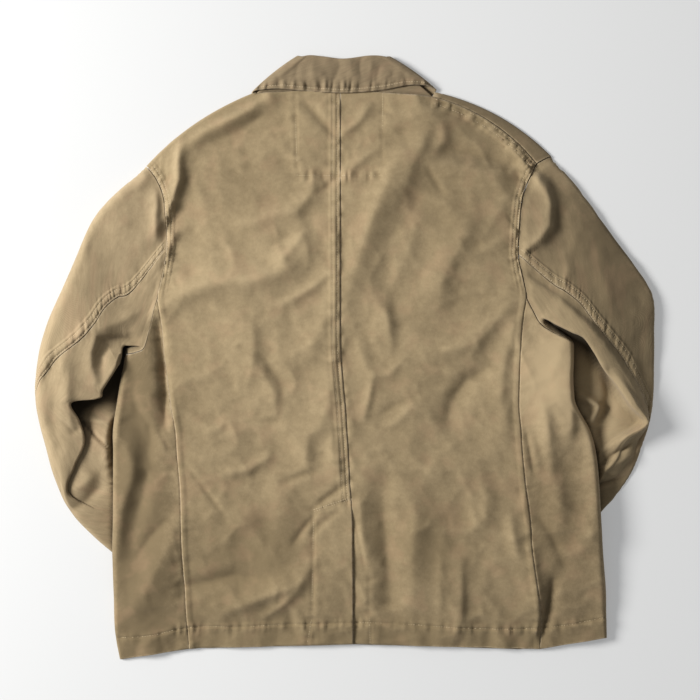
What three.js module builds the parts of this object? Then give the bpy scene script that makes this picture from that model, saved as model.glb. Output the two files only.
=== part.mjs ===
// A cargo jacket laid face down with both forearms tucked beneath the body, in millimetres.
// +X is the right-hand side seen from above, +Y runs from hem to collar, +Z is up from the surface.
// Every piece is a cloth wall thickened from rows of points on its middle surface.
import * as THREE from "three";

// ---- driving dimensions ----
const WALL = 1.2; // one layer of cotton twill
const COLLAR_WALL = 1.6; // the collar fall is two layers, pressed
const SEAM_GAP = 0.3; // between two pieces sewn to each other
const LAYER = WALL + SEAM_GAP; // from one cloth middle to the next one lying on it
const FLOOR = WALL / 2; // height of a middle surface that rests on the ground
const ARMPIT_BODY = 8; // the section from which the side panels bend up into the armhole
const NECK_COLUMN = 4; // the column of a front or back that ends at the neck corner
const PANEL_COLUMNS = 8;
const ROLL_STEPS = 4; // steps round half a turn where cloth rolls over an edge

const COLOURS = { back: 0xa4907a, side: 0xa18d72, front: 0x98856b, sleeve: 0xad9a7c, under: 0xa2906f };
const TRIM = { collar: 0x8b7a5f, pocket: 0x96836a, button: 0x5d4f3f };

// Sections of the body from hem to armhole: where the outer edges, the side-back seams and the
// centre-back seam lie across it, and where the side-front seams lie on its underside.
const BODY = [
  { y: -362, leftEdge: -285, leftSeam: -197.5, centre: 10, rightSeam: 247, rightEdge: 331 },
  { y: -330, leftEdge: -291, leftSeam: -200, centre: 10, rightSeam: 247.5, rightEdge: 330 },
  { y: -290, leftEdge: -292, leftSeam: -202, centre: 10, rightSeam: 242, rightEdge: 329 },
  { y: -245, leftEdge: -293, leftSeam: -205, centre: 9.5, rightSeam: 236, rightEdge: 325 },
  { y: -200, leftEdge: -292, leftSeam: -206.5, centre: 9, rightSeam: 233, rightEdge: 322 },
  { y: -160, leftEdge: -292, leftSeam: -208, centre: 6, rightSeam: 227.5, rightEdge: 320 },
  { y: -120, leftEdge: -292, leftSeam: -211.5, centre: 4, rightSeam: 223.5, rightEdge: 316 },
  { y: -90, leftEdge: -292, leftSeam: -213.5, centre: 2, rightSeam: 221.5, rightEdge: 308 },
  { y: -60, leftEdge: -288, leftSeam: -219, centre: 0, rightSeam: 219, rightEdge: 291 },
  { y: -28, leftEdge: -283, leftSeam: -224, centre: -3, rightSeam: 219.5, rightEdge: 287 },
  { y: 6, leftEdge: -277, leftSeam: -228.5, centre: -5.5, rightSeam: 221, rightEdge: 288 },
  { y: 40, leftEdge: -277, leftSeam: -231, centre: -6, rightSeam: 223, rightEdge: 288 },
  { y: 75, leftEdge: -277, leftSeam: -236, centre: -6, rightSeam: 228.5, rightEdge: 288 },
];

// How far the hem edge lies below or above the first section, across the body.
const HEM = [
  { x: -292, drop: -20 },
  { x: -243, drop: -16 },
  { x: -205, drop: -7 },
  { x: -130, drop: -5 },
  { x: -70, drop: -2 },
  { x: 0, drop: 0 },
  { x: 300, drop: 1 },
  { x: 331, drop: 8 },
];
const HEM_REACH = 90; // the hem's unevenness fades out over this height

// Armholes. back: up from the side-back seam to the shoulder. lowBack: from that seam down to the
// rolled edge at the armpit. lowFront and front: the same on the underside, rising from the armpit.
const ARMHOLE = {
  left: {
    back: [
      { x: -230, y: 106 },
      { x: -225, y: 140 },
      { x: -226, y: 180 },
      { x: -229, y: 204 },
      { x: -237, y: 224 },
      { x: -248, y: 239.5 },
    ],
    lowBack: [
      { x: -236, y: 75 },
      { x: -243, y: 50 },
      { x: -251, y: 26 },
      { x: -257, y: 12 },
      { x: -270, y: 6 },
    ],
    lowFront: [
      { x: -270, y: 6 },
      { x: -251, y: 14 },
      { x: -236, y: 28 },
      { x: -223, y: 45 },
      { x: -214, y: 64 },
    ],
    front: [
      { x: -208, y: 95 },
      { x: -205, y: 130 },
      { x: -208, y: 168 },
      { x: -217, y: 202 },
      { x: -232, y: 227 },
      { x: -248, y: 239.5 },
    ],
    armpit: { x: -277, y: 4 },
  },
  right: {
    back: [
      { x: 222, y: 108 },
      { x: 218, y: 132 },
      { x: 219.5, y: 165 },
      { x: 223, y: 200 },
      { x: 231, y: 223 },
      { x: 242, y: 246 },
    ],
    lowBack: [
      { x: 228.5, y: 75 },
      { x: 236, y: 60 },
      { x: 246, y: 43 },
      { x: 260, y: 33 },
      { x: 280, y: 23 },
    ],
    lowFront: [
      { x: 280, y: 23 },
      { x: 262, y: 28 },
      { x: 246, y: 38 },
      { x: 232, y: 51 },
      { x: 220, y: 66 },
    ],
    front: [
      { x: 213, y: 96 },
      { x: 210, y: 131 },
      { x: 213, y: 170 },
      { x: 224, y: 206 },
      { x: 238, y: 232 },
      { x: 256, y: 251 },
    ],
    armpit: { x: 288, y: 18 },
  },
};

// Each shoulder: the neck corner of its seam, the two ends of its rolled edge, and how far both
// lines bow outwards between their ends.
const SHOULDER = {
  left: { neck: { x: -112, y: 335 }, rim: { x: -113, y: 336.5 }, tip: { x: -251.5, y: 243 }, bow: 9 },
  right: { neck: { x: 111, y: 331 }, rim: { x: 113, y: 336.5 }, tip: { x: 259, y: 255 }, bow: 12 },
};
const NECK_Y = 342; // back neck seam
const FRONT_NECK = { x: -3, y: 296 }; // centre front neck
const FRONT_NECK_DROP = 10; // the front neckline hollows out by this
const FRONT_LAP = 15; // each front passes the centre front by this
const FRONT_TOP_Y = 64; // the side-front seams meet the armholes here
const FRONT_SEAM = { left: -203, right: 222, bendFrom: -60 }; // it bends outwards above this y

// Height of the back's middle surface at five places across, from hem to neck.
const ACROSS = [-280, -150, 0, 150, 300];
const HEIGHTS = [
  { y: -372, at: [12.5, 13, 13.9, 13, 12.6] },
  { y: -300, at: [15, 13.8, 14.2, 13.8, 15] },
  { y: -200, at: [19, 14.8, 14.2, 14.8, 19] },
  { y: -80, at: [20, 14.5, 13, 14.5, 20] },
  { y: 20, at: [18, 14, 13, 14, 18] },
  { y: 120, at: [15, 13.5, 13, 13.5, 15] },
  { y: 230, at: [13, 13, 12.6, 13, 13] },
  { y: 300, at: [9, 9.4, 9, 9.4, 9] },
  { y: 345, at: [5.6, 5.6, 5.6, 5.6, 5.6] },
];
const SHOULDER_HEIGHT = 5.6;
const SHOULDER_RAMP = 70; // the back rises to its full height within this of the shoulder line

// The largest folds of the back: ridges where rise is positive, troughs where it is negative.
const FOLDS = [
  { x0: -222, y0: 63, x1: -60, y1: 122, half: 16, rise: 4 },
  { x0: -121, y0: 160, x1: -42, y1: 211, half: 15, rise: 3 },
  { x0: -262, y0: -60, x1: -276, y1: -250, half: 12, rise: -3 },
  { x0: -217, y0: -220, x1: -262, y1: -300, half: 15, rise: 3.5 },
  { x0: -22, y0: 58, x1: -22, y1: -160, half: 12, rise: 2.5 },
  { x0: 22, y0: 183, x1: 32, y1: 229, half: 14, rise: 3 },
  { x0: 123, y0: 279, x1: 105, y1: 257, half: 14, rise: 3 },
  { x0: 110, y0: 70, x1: 105, y1: 137, half: 16, rise: 2.5 },
  { x0: 135, y0: 24, x1: 205, y1: 76, half: 14, rise: 3.5 },
  { x0: 72, y0: -157, x1: 72, y1: -328, half: 15, rise: 3 },
  { x0: 173, y0: -152, x1: 170, y1: -208, half: 15, rise: 3 },
  { x0: 290, y0: -164, x1: 292, y1: -226, half: 14, rise: 2.5 },
];

// What lies beneath the fronts and lifts them: rectangles with the height and a ramp round them.
const LIFTS = [
  { x0: -122, x1: 122, y0: 240, y1: 350, lift: 2.8, ramp: 24 }, // collar fronts
  { x0: -15, x1: 31, y0: -400, y1: 300, lift: 2.8, ramp: 22 }, // buttons
  { x0: -176, x1: -26, y0: -336, y1: -154, lift: 2 * LAYER, ramp: 22 }, // left pocket and flap
  { x0: 48, x1: 196, y0: -336, y1: -154, lift: 2 * LAYER, ramp: 22 }, // right pocket and flap
];
// The rows and columns of a front's points that a pocket covers; its flap covers the last of them.
const POCKET = { rows: [1, 5], columns: [2, 7] };
const FLAP_ROWS = [4, 5];
const FOREARM_LIFT = { lift: 6.6, margin: 22, ramp: 30, firstSection: 3 };
const LAP_LIFT = { rise: 1.8, past: 4, ramp: 22 }; // the right front passes over the left one

const BUTTON = { radius: 9, height: 2.2, first: 262, pitch: 112, count: 5 };
// The vent's underlap: how wide it is, how far it dips, and where beside the centre the dip ends.
const VENT = { top: -182, lap: 46, dip: 2.1, from: 8, reach: 42, columns: 3 };

// Sections of each sleeve from armhole to cuff. outer and inner are its two rolled edges, fold is
// the edge of the upper layer where the elbow doubles the cloth, crest and step are the heights of
// that layer and of the drop past the fold, seam is how far the back seam lies from the outer edge.
const SLEEVE_LEFT = [
  { outer: [-281, 216], fold: [-262, 60], inner: [-282, 16], crest: 20, step: 0, low: 17, seam: 0.585 },
  { outer: [-316, 179], fold: [-280, 40], inner: [-288, 7], crest: 23, step: 0, low: 18, seam: 0.58 },
  { outer: [-338, 131], fold: [-284, 12], inner: [-291, -6], crest: 25, step: 1, low: 17, seam: 0.5 },
  { outer: [-356, 89], fold: [-287, -1], inner: [-292, -18], crest: 27, step: 4, low: 15, seam: 0.43 },
  { outer: [-378, 36], fold: [-296, -21], inner: [-284, -34], crest: 28, step: 9, low: 11, seam: 0.315 },
  { outer: [-385, 10], fold: [-306, -38], inner: [-272, -48], crest: 29, step: 12, low: 9, seam: 0.2 },
  { outer: [-390, -32], fold: [-320, -52], inner: [-260, -62], crest: 29, step: 13, low: 9, seam: 0.07 },
  { outer: [-390, -56], fold: [-338, -60], inner: [-252, -74], crest: 28, step: 13, low: 9, seam: -0.02 },
  { outer: [-386, -80], fold: [-333, -79], inner: [-246, -86], crest: 26, step: 11, low: 9, seam: -0.1 },
  { outer: [-378, -112], fold: [-331, -105], inner: [-234, -102], crest: 23, step: 8, low: 9, seam: -0.14 },
  { outer: [-367, -151], fold: [-341, -136], inner: [-220, -118], crest: 19, step: 5, low: 9, seam: -0.2 },
  { outer: [-350, -190], fold: [-330, -158], inner: [-207, -132], crest: 12, step: 1, low: 8, seam: -0.2 },
  { outer: [-318, -226], fold: [-280, -195], inner: [-194, -147], crest: 6, step: 0, low: 6, seam: -0.2 },
  { outer: [-275, -262], fold: [-240, -215], inner: [-180, -163], crest: 5.4, step: 0, low: 5.4, seam: -0.2 },
];
const SLEEVE_RIGHT = [
  { outer: [281, 232], fold: [246, 90], inner: [292, 27], crest: 20, step: 2, low: 15, seam: 0.585 },
  { outer: [307, 201], fold: [256, 72], inner: [297, 18], crest: 24, step: 5, low: 13, seam: 0.58 },
  { outer: [344, 147], fold: [280, 50], inner: [301, 5], crest: 28, step: 8, low: 12, seam: 0.575 },
  { outer: [380, 98], fold: [304, 22], inner: [299, -8], crest: 30, step: 10, low: 11, seam: 0.59 },
  { outer: [391, 53], fold: [315, 5], inner: [298, -20], crest: 30, step: 11, low: 10, seam: 0.52 },
  { outer: [392, 4], fold: [328, -16], inner: [298, -34], crest: 30, step: 12, low: 10, seam: 0.37 },
  { outer: [391, -28], fold: [344, -32], inner: [297, -48], crest: 29, step: 12, low: 10, seam: 0.25 },
  { outer: [390, -56], fold: [360, -56], inner: [286, -66], crest: 26, step: 11, low: 9, seam: 0.12 },
  { outer: [384, -84], fold: [368, -78], inner: [276, -84], crest: 22, step: 8, low: 9, seam: 0.02 },
  { outer: [376, -112], fold: [350, -100], inner: [262, -98], crest: 18, step: 3, low: 9, seam: -0.04 },
  { outer: [364, -147], fold: [336, -126], inner: [245, -112], crest: 14, step: 0, low: 8, seam: -0.1 },
  { outer: [345, -176], fold: [312, -150], inner: [228, -124], crest: 10, step: 0, low: 6, seam: -0.16 },
  { outer: [314, -210], fold: [280, -182], inner: [212, -138], crest: 5.4, step: 0, low: 5.4, seam: -0.2 },
  { outer: [277, -248], fold: [250, -212], inner: [196, -152], crest: 5.4, step: 0, low: 5.4, seam: -0.2 },
];
const FRONT_SLEEVE_SEAM = -0.55; // where the hidden front seam runs, as a share of the underside
const SLEEVE_GAP = 0.33; // each side of the sleeve's own seams
const ARMHOLE_GAP = 0.6; // along the sleeve, which leaves the armhole at a slant
const SEAM_PLACE = 1; // a sleeve seam meets the armhole this many places up from the side seam
// The sleeve's upper layer stays at top where the body lies on it, and rises at the slopes once
// clear of the body's edge or of the armpit.
const TUCKED = { top: 5.1, clearOfEdge: 25, slopeOut: 1.1, clearOfArmpit: 6, slopeUp: 2.2 };

// How a sleeve's section rolls. reach is in halves of the rolled edge's depth, rise and sag are
// shares of the crest and of the step, share is of the width from the outer edge to the fold.
const EDGE_ROLL = [
  { reach: 0, rise: 0.3 },
  { reach: 0.3, rise: 0.66 },
  { reach: 1, rise: 0.88 },
];
const UNDER_ROLL = [
  { reach: 0.35, rise: 0.06 },
  { reach: 1, rise: 0 },
];
const UPPER_SAG = [
  { share: 0.75, sag: 0.1 },
  { share: 1, sag: 0.3 },
];
const EDGE_DEPTH = 18; // the deepest a rolled edge gets
const CREST_REACH = 2.2; // the crest begins this many halves of the edge's depth in
const STEP = { reach: 6, share: 0.3 }; // half-way down the step past the fold
const LEDGE = { reach: 18, share: 0.6 }; // where the lower layer begins past the fold
const LOW_SHARES = [0, 0.17, 0.34, 0.5, 0.67, 0.84, 1];
const INNER_ROLL = { top: 0.6, under: 0.8 }; // the inner edge's roll, in halves of its depth

// Sections of the collar's left half from the centre back round to the centre front. share places
// the neck edge along the neckline, fold and edge are the fold line and the outer edge of the fall
// from the centre of the back neck, and turn is 90 on the back, -90 on the underside.
const COLLAR = [
  { share: 0, fold: [0, 36], edge: [0, -6], turn: 90 },
  { share: 0.5, fold: [-28, 38], edge: [-52, -3], turn: 90 },
  { share: 0.75, fold: [-44, 39], edge: [-90, 1], turn: 90 },
  { share: 1, fold: [-52, 38], edge: [-108, -2], turn: 80 },
  { share: 1, fold: [-54, 37], edge: [-110, -5], turn: 40 },
  { share: 1, fold: [-55, 37], edge: [-112, -6], turn: 0 },
  { share: 1, fold: [-54, 35], edge: [-111, -8], turn: -40 },
  { share: 1, fold: [-52, 33], edge: [-109, -12], turn: -80 },
  { share: 0.75, fold: [-43, 6], edge: [-103, -48], turn: -90 },
  { share: 0.5, fold: [-30, -10], edge: [-92, -72], turn: -90 },
  { share: 0.25, fold: [-16, -18], edge: [-72, -84], turn: -90 },
];
const COLLAR_CENTRE = { left: -4, right: 2 };
const COLLAR_TURN = { middle: 4.5, radius: 2.4, spread: 1.3, outX: -0.6, outY: 0.8 };
const NECK_GAP = 0.8; // between the stand and the necklines, which meet it at a slant
const STAND_SHORT = 0.9; // the stand stops this far short of the fold line
const FOLD_TIP = 2.4; // the fall passes the stand by this at the fold line
const FALL_TUCK = 1; // and ends on it this far short of the same line
const FALL_SHARES = [0.35, 0.7]; // where the fall bends between its edge and the fold line
const FALL_OVER = 0.4; // its top layer passes the fold line by this before it turns

// ---- interpolation ----

const mix = (a, b, t) => a + (b - a) * t;
const clamp = (t) => Math.min(1, Math.max(0, t));
const ease = (t) => clamp(t) ** 2 * (3 - 2 * clamp(t));

// Straight-line value of a column at a place in a table sorted by its key.
function column(rows, key, place, name) {
  let i = 1;
  while (i < rows.length - 1 && rows[i][key] < place) i += 1;
  const [a, b] = [rows[i - 1], rows[i]];
  return mix(a[name], b[name], clamp((place - a[key]) / (b[key] - a[key])));
}

// ---- the two heights of the body ----

// Height added by one fold: a soft bell across its line that fades out at both ends.
function foldHeight(fold, x, y) {
  const [dx, dy] = [fold.x1 - fold.x0, fold.y1 - fold.y0];
  const length = Math.hypot(dx, dy);
  const along = ((x - fold.x0) * dx + (y - fold.y0) * dy) / length;
  const past = Math.max(0, -along, along - length);
  const off = ((x - fold.x0) * dy - (y - fold.y0) * dx) / length;
  return fold.rise * Math.exp(-((off / fold.half) ** 2) - (past / fold.half) ** 2);
}

// The place at a share t of a shoulder line from a to b, bowed outwards.
function onShoulder(line, a, b, t) {
  const length = Math.hypot(b.x - a.x, b.y - a.y);
  const bow = (4 * t * (1 - t) * line.bow) / length;
  const x = mix(a.x, b.x, t) + bow * Math.abs(b.y - a.y) * Math.sign(b.x);
  return { x, y: mix(a.y, b.y, t) + bow * Math.abs(b.x - a.x) };
}

// How far a place lies inside the straight line between the ends of one shoulder.
function insideShoulder(line, x, y) {
  const [dx, dy] = [line.tip.x - line.rim.x, line.tip.y - line.rim.y];
  const turned = Math.sign(dx) / Math.hypot(dx, dy);
  return ((x - line.rim.x) * dy - (y - line.rim.y) * dx) * turned;
}

function backHeight(x, y) {
  const rows = HEIGHTS.map((row) => {
    let i = 1;
    while (i < ACROSS.length - 1 && ACROSS[i] < x) i += 1;
    const t = (x - ACROSS[i - 1]) / (ACROSS[i] - ACROSS[i - 1]);
    return { y: row.y, z: mix(row.at[i - 1], row.at[i], ease(t)) };
  });
  const folds = FOLDS.reduce((sum, fold) => sum + foldHeight(fold, x, y), 0);
  const side = x < 0 ? SHOULDER.left : SHOULDER.right;
  const inside = clamp(insideShoulder(side, x, y) / SHOULDER_RAMP);
  const full = column(rows, "y", y, "z") + folds;
  return mix(SHOULDER_HEIGHT, full, inside * (2 - inside));
}

// 1 on a rectangle, fading to 0 over the ramp round it.
function cover(box, x, y) {
  const outX = Math.max(0, box.x0 - x, x - box.x1);
  const outY = Math.max(0, box.y0 - y, y - box.y1);
  return 1 - ease(Math.hypot(outX, outY) / box.ramp);
}

// 1 over a tucked forearm, fading round it. Its edges are the outer and inner edges of the sleeve.
function overForearm(rows, x, y) {
  const lower = rows.slice(FOREARM_LIFT.firstSection);
  let nearest = Infinity;
  for (let i = 1; i < lower.length; i += 1) {
    const quad = [lower[i - 1].outer, lower[i].outer, lower[i].inner, lower[i - 1].inner];
    nearest = Math.min(nearest, outsideQuad(quad, x, y));
  }
  return 1 - ease((nearest - FOREARM_LIFT.margin) / FOREARM_LIFT.ramp);
}

// Distance from a place to a four-cornered patch, or 0 inside it.
function outsideQuad(quad, x, y) {
  let turns = 0;
  let nearest = Infinity;
  quad.forEach(([ax, ay], i) => {
    const [bx, by] = quad[(i + 1) % quad.length];
    const [dx, dy] = [bx - ax, by - ay];
    turns += Math.sign((x - ax) * dy - (y - ay) * dx);
    const t = clamp(((x - ax) * dx + (y - ay) * dy) / (dx * dx + dy * dy));
    nearest = Math.min(nearest, Math.hypot(x - ax - t * dx, y - ay - t * dy));
  });
  return Math.abs(turns) === quad.length ? 0 : nearest;
}

const centreFront = (y) => column(BODY, "y", y, "centre") + 2;

function frontHeight(x, y) {
  const lifts = LIFTS.map((box) => box.lift * cover(box, x, y));
  lifts.push(FOREARM_LIFT.lift * overForearm(SLEEVE_LEFT, x, y));
  lifts.push(FOREARM_LIFT.lift * overForearm(SLEEVE_RIGHT, x, y));
  return FLOOR + Math.max(...lifts);
}

// ---- rows of points ----

const onBack = (p) => new THREE.Vector3(p.x, p.y, backHeight(p.x, p.y));
const onFront = (p) => new THREE.Vector3(p.x, p.y, frontHeight(p.x, p.y));

function hemmed(x, y) {
  const fade = 1 - ease((y - BODY[0].y) / HEM_REACH);
  return { x, y: y + column(HEM, "x", x, "drop") * fade };
}

// Rows between two lines of places. Up to the row `straight` they run straight across, and above
// it they bend to end on the places in `top`.
function rowsBetween(first, last, top, straight) {
  const columns = top.length - 1;
  const end = first.length - 1;
  return first.map((a, j) => {
    const bend = Math.max(0, (j - straight) / (end - straight));
    const place = (axis, t, u) => {
      const chord = mix(top[0][axis], top[columns][axis], u);
      return mix(a[axis], last[j][axis], u) + bend * (t[axis] - chord);
    };
    return top.map((t, k) => ({ x: place("x", t, k / columns), y: place("y", t, k / columns) }));
  });
}

// Places round half a turn from one surface to the one beneath it, past both tangent places.
function rollOver(upper, lower, out) {
  const points = [];
  const middle = upper.clone().add(lower).multiplyScalar(0.5);
  const arm = upper.clone().sub(middle);
  for (let i = 1; i < ROLL_STEPS; i += 1) {
    const angle = (Math.PI * i) / ROLL_STEPS;
    const point = middle.clone().addScaledVector(arm, Math.cos(angle));
    points.push(point.addScaledVector(out, Math.sin(angle)));
  }
  return points;
}

// ---- solids ----

// A closed wall round the middle surface that the patches make together. Patches are grids of
// points and share the points on their common edges.
function wallOf(patches, wall) {
  const middle = [];
  const seen = new Map();
  const faces = [];
  const indexOf = (p) => {
    const key = [p.x, p.y, p.z].map((value) => Math.round(value * 1000)).join();
    if (!seen.has(key)) {
      seen.set(key, middle.length);
      middle.push(p.clone());
    }
    return seen.get(key);
  };
  for (const rows of patches) {
    for (let j = 1; j < rows.length; j += 1) {
      for (let k = 1; k < rows[j].length; k += 1) {
        const corners = [rows[j - 1][k - 1], rows[j - 1][k], rows[j][k], rows[j][k - 1]];
        const [a, b, c, d] = corners.map(indexOf);
        faces.push([a, b, c], [a, c, d]);
      }
    }
  }
  const solid = faces.filter(([a, b, c]) => a !== b && b !== c && c !== a);
  const normals = middle.map(() => new THREE.Vector3());
  const edges = new Map();
  for (const [a, b, c] of solid) {
    const side = middle[b].clone().sub(middle[a]);
    const normal = side.cross(middle[c].clone().sub(middle[a]));
    for (const i of [a, b, c]) normals[i].add(normal);
    for (const [p, q] of [[a, b], [b, c], [c, a]]) {
      const back = `${q},${p}`;
      if (edges.has(back)) edges.delete(back);
      else edges.set(`${p},${q}`, [p, q]);
    }
  }
  const count = middle.length;
  const points = [...middle, ...middle].map((p, i) => {
    const normal = normals[i % count].clone().normalize();
    return p.clone().addScaledVector(normal, (i < count ? 0.5 : -0.5) * wall);
  });
  const triangles = solid.flatMap(([a, b, c]) => [
    [a, b, c],
    [a + count, c + count, b + count],
  ]);
  for (const [p, q] of edges.values()) {
    triangles.push([p, p + count, q + count], [p, q + count, q]);
  }
  return geometryOf(points, triangles);
}

// A triangle mesh whose faces point out of the solid.
function geometryOf(points, triangles) {
  const volume = triangles.reduce(
    (sum, [a, b, c]) => sum + points[a].dot(points[b].clone().cross(points[c])),
    0,
  );
  const order = volume < 0 ? [0, 2, 1] : [0, 1, 2];
  const geometry = new THREE.BufferGeometry();
  const flat = points.flatMap((p) => [p.x, p.y, p.z]);
  geometry.setAttribute("position", new THREE.Float32BufferAttribute(flat, 3));
  geometry.setIndex(triangles.flatMap((t) => order.map((i) => t[i])));
  geometry.computeVertexNormals();
  return geometry;
}

function piece(name, geometry, color) {
  const material = new THREE.MeshStandardMaterial({ color, roughness: 0.9, metalness: 0 });
  const mesh = new THREE.Mesh(geometry, material);
  mesh.name = name;
  return mesh;
}

// ---- body panels ----

// The places of a body seam, section by section, held half a seam gap to one side.
function seamPlaces(name, shift) {
  return BODY.map((row) => hemmed(row[name] + (shift * SEAM_GAP) / 2, row.y));
}

// The side-front seam and the underside rows are pressed together to end lower than the back's.
function lowered(y, topY) {
  const turn = BODY[ARMPIT_BODY].y;
  const last = BODY[BODY.length - 1].y;
  return y <= turn ? y : mix(turn, topY, (y - turn) / (last - turn));
}

function frontSeam(side, shift) {
  const end = ARMHOLE[side].lowFront.at(-1);
  return BODY.map((row) => {
    const y = lowered(row.y, end.y);
    const bend = (y - FRONT_SEAM.bendFrom) / (end.y - FRONT_SEAM.bendFrom);
    const x = mix(FRONT_SEAM[side], end.x, ease(bend));
    return hemmed(x + (shift * SEAM_GAP) / 2, y);
  });
}

// The neckline from the centre to the neck corner of one shoulder, hollowed by a drop.
function neckline(side, centre, drop, share) {
  const corner = SHOULDER[side].neck;
  const hollow = 4 * share * (1 - share) * drop;
  return { x: mix(centre.x, corner.x, share), y: mix(centre.y, corner.y, share) - hollow };
}

// The top of a front's lap at the centre front.
function frontNeck(side) {
  const lap = side === "left" ? FRONT_LAP : -FRONT_LAP;
  return { x: FRONT_NECK.x + lap, y: FRONT_NECK.y };
}

// A front or a back from the centre line out to the side seam and armhole.
function panelRows(side, centre, seam, armhole, neck, drop) {
  const first = [...centre];
  const rise = armhole.length;
  const from = centre.at(-1);
  for (let i = 1; i <= rise; i += 1) {
    first.push({ x: mix(from.x, neck.x, i / rise), y: mix(from.y, neck.y, i / rise) });
  }
  const last = [...seam, ...armhole];
  const top = [];
  for (let k = 0; k <= NECK_COLUMN; k += 1) top.push(neckline(side, neck, drop, k / NECK_COLUMN));
  const outer = PANEL_COLUMNS - NECK_COLUMN;
  for (let k = 1; k <= outer; k += 1) {
    top.push(onShoulder(SHOULDER[side], top[NECK_COLUMN], last.at(-1), k / outer));
  }
  return rowsBetween(first, last, top, seam.length - 1);
}

// Roll of the shoulder line from the back's last row to the front's, outboard of the neck corner.
function shoulderRoll(side, upper, lower) {
  const line = SHOULDER[side];
  const columns = upper.length - 1;
  return upper.map((p, k) => {
    const place = onShoulder(line, line.rim, line.tip, k / columns);
    const rim = new THREE.Vector3(place.x, place.y, (p.z + lower[k].z) / 2);
    const middle = p.clone().add(lower[k]).multiplyScalar(0.5);
    return [p, ...rollOver(p, lower[k], rim.sub(middle)), lower[k]];
  });
}

const turned = (rows) => rows[0].map((_, k) => rows.map((row) => row[k]));

function bodySide(side) {
  const sign = side === "left" ? -1 : 1;
  const hole = ARMHOLE[side];
  const centre = seamPlaces("centre", sign);
  const seam = seamPlaces(`${side}Seam`, -sign);
  const neck = { x: centre.at(-1).x, y: NECK_Y };
  const backPlaces = panelRows(side, centre, seam, hole.back, neck, 0);
  const back = backPlaces.map((row) => row.map(onBack));

  const lap = BODY.map((row) => {
    const y = lowered(row.y, FRONT_TOP_Y);
    return hemmed(centreFront(y) - sign * FRONT_LAP, y);
  });
  const frontEdge = frontSeam(side, -sign);
  const frontPlaces = panelRows(side, lap, frontEdge, hole.front, frontNeck(side), FRONT_NECK_DROP);
  const front = frontPlaces.map((row) => row.map(onFront));
  if (side === "right") {
    front.flat().forEach(liftOverLap);
    besideVent(back).flat().forEach((p) => p.setZ(p.z - ventDip(p)));
  }

  const shoulder = shoulderRoll(side, back.at(-1).slice(NECK_COLUMN), front.at(-1).slice(NECK_COLUMN));
  return { back, front, shoulder, sidePanel: sideRows(side) };
}

// The right front passes over the left one along the centre front.
function liftOverLap(p) {
  const past = centreFront(p.y) + FRONT_LAP + LAP_LIFT.past - p.x;
  p.z += LAP_LIFT.rise * ease(1 + past / LAP_LIFT.ramp);
}

// A side panel: from the side-back seam over the rolled edge to the side-front seam.
function sideRows(side) {
  const sign = side === "left" ? -1 : 1;
  const hole = ARMHOLE[side];
  const seam = seamPlaces(`${side}Seam`, sign);
  const edge = BODY.map((row) => {
    const y = lowered(row.y, hole.armpit.y);
    return hemmed(column(BODY, "y", y, `${side}Edge`), y);
  });
  const radius = (p) => (backHeight(p.x, p.y) - frontHeight(p.x, p.y)) / 2;
  const tangent = edge.map((p) => ({ x: p.x - sign * radius(p), y: p.y }));
  tangent[tangent.length - 1] = hole.lowBack.at(-1);
  const outer = rowsBetween(seam, tangent, hole.lowBack, ARMPIT_BODY);
  const inner = rowsBetween(tangent, frontSeam(side, sign), hole.lowFront, ARMPIT_BODY);
  return outer.map((row, j) => {
    const upper = row.map(onBack);
    const lower = inner[j].map(onFront);
    const middle = upper.at(-1).clone().add(lower[0]).multiplyScalar(0.5);
    const out = new THREE.Vector3(edge[j].x, edge[j].y, middle.z).sub(middle);
    return [...upper, ...rollOver(upper.at(-1), lower[0], out), ...lower];
  });
}

// How far the right back lies below the left one at a place beside the vent.
function ventDip(p) {
  const past = p.x - column(BODY, "y", p.y, "centre");
  return VENT.dip * (1 - ease((past - VENT.from) / VENT.reach));
}

// The rows of the right back that the vent reaches.
const besideVent = (back) => back.filter((row) => row[0].y < VENT.top + 1);

// The right back runs on beneath the left one along the vent.
function underlap(row) {
  const points = [row[0]];
  for (let i = 1; i <= VENT.columns; i += 1) {
    const place = { x: row[0].x - (i / VENT.columns) * VENT.lap, y: row[0].y };
    const point = onBack(place);
    points.unshift(point.setZ(point.z - ventDip(place)));
  }
  return points;
}

// ---- sleeves ----

// The rim of an armhole as a loop from the sleeve's front seam over the shoulder, down the back
// and round the armpit.
function armholeLoop(body) {
  const backEdge = body.back.slice(BODY.length).map((row) => row.at(-1));
  const frontEdge = body.front.slice(BODY.length).map((row) => row.at(-1));
  const roll = body.shoulder.at(-1).slice(1, -1);
  const under = body.sidePanel.at(-1);
  const over = [
    ...frontEdge.slice(SEAM_PLACE),
    ...roll.slice().reverse(),
    ...backEdge.slice(SEAM_PLACE).reverse(),
  ];
  const down = backEdge.slice(0, SEAM_PLACE + 1).reverse();
  return { over, below: [...down, ...under, ...frontEdge.slice(0, SEAM_PLACE), over[0]] };
}

// Greatest height of the sleeve's upper layer at a place, so that it stays beneath the body.
function sleeveCeiling(side, x, y) {
  const sign = side === "left" ? -1 : 1;
  const edge = column(BODY, "y", Math.min(y, ARMHOLE[side].armpit.y), `${side}Edge`);
  const beside = Math.max(0, (x - edge) * sign - TUCKED.clearOfEdge);
  const above = Math.max(0, y - ARMHOLE[side].armpit.y - TUCKED.clearOfArmpit);
  return TUCKED.top + beside * TUCKED.slopeOut + above * TUCKED.slopeUp;
}

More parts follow.
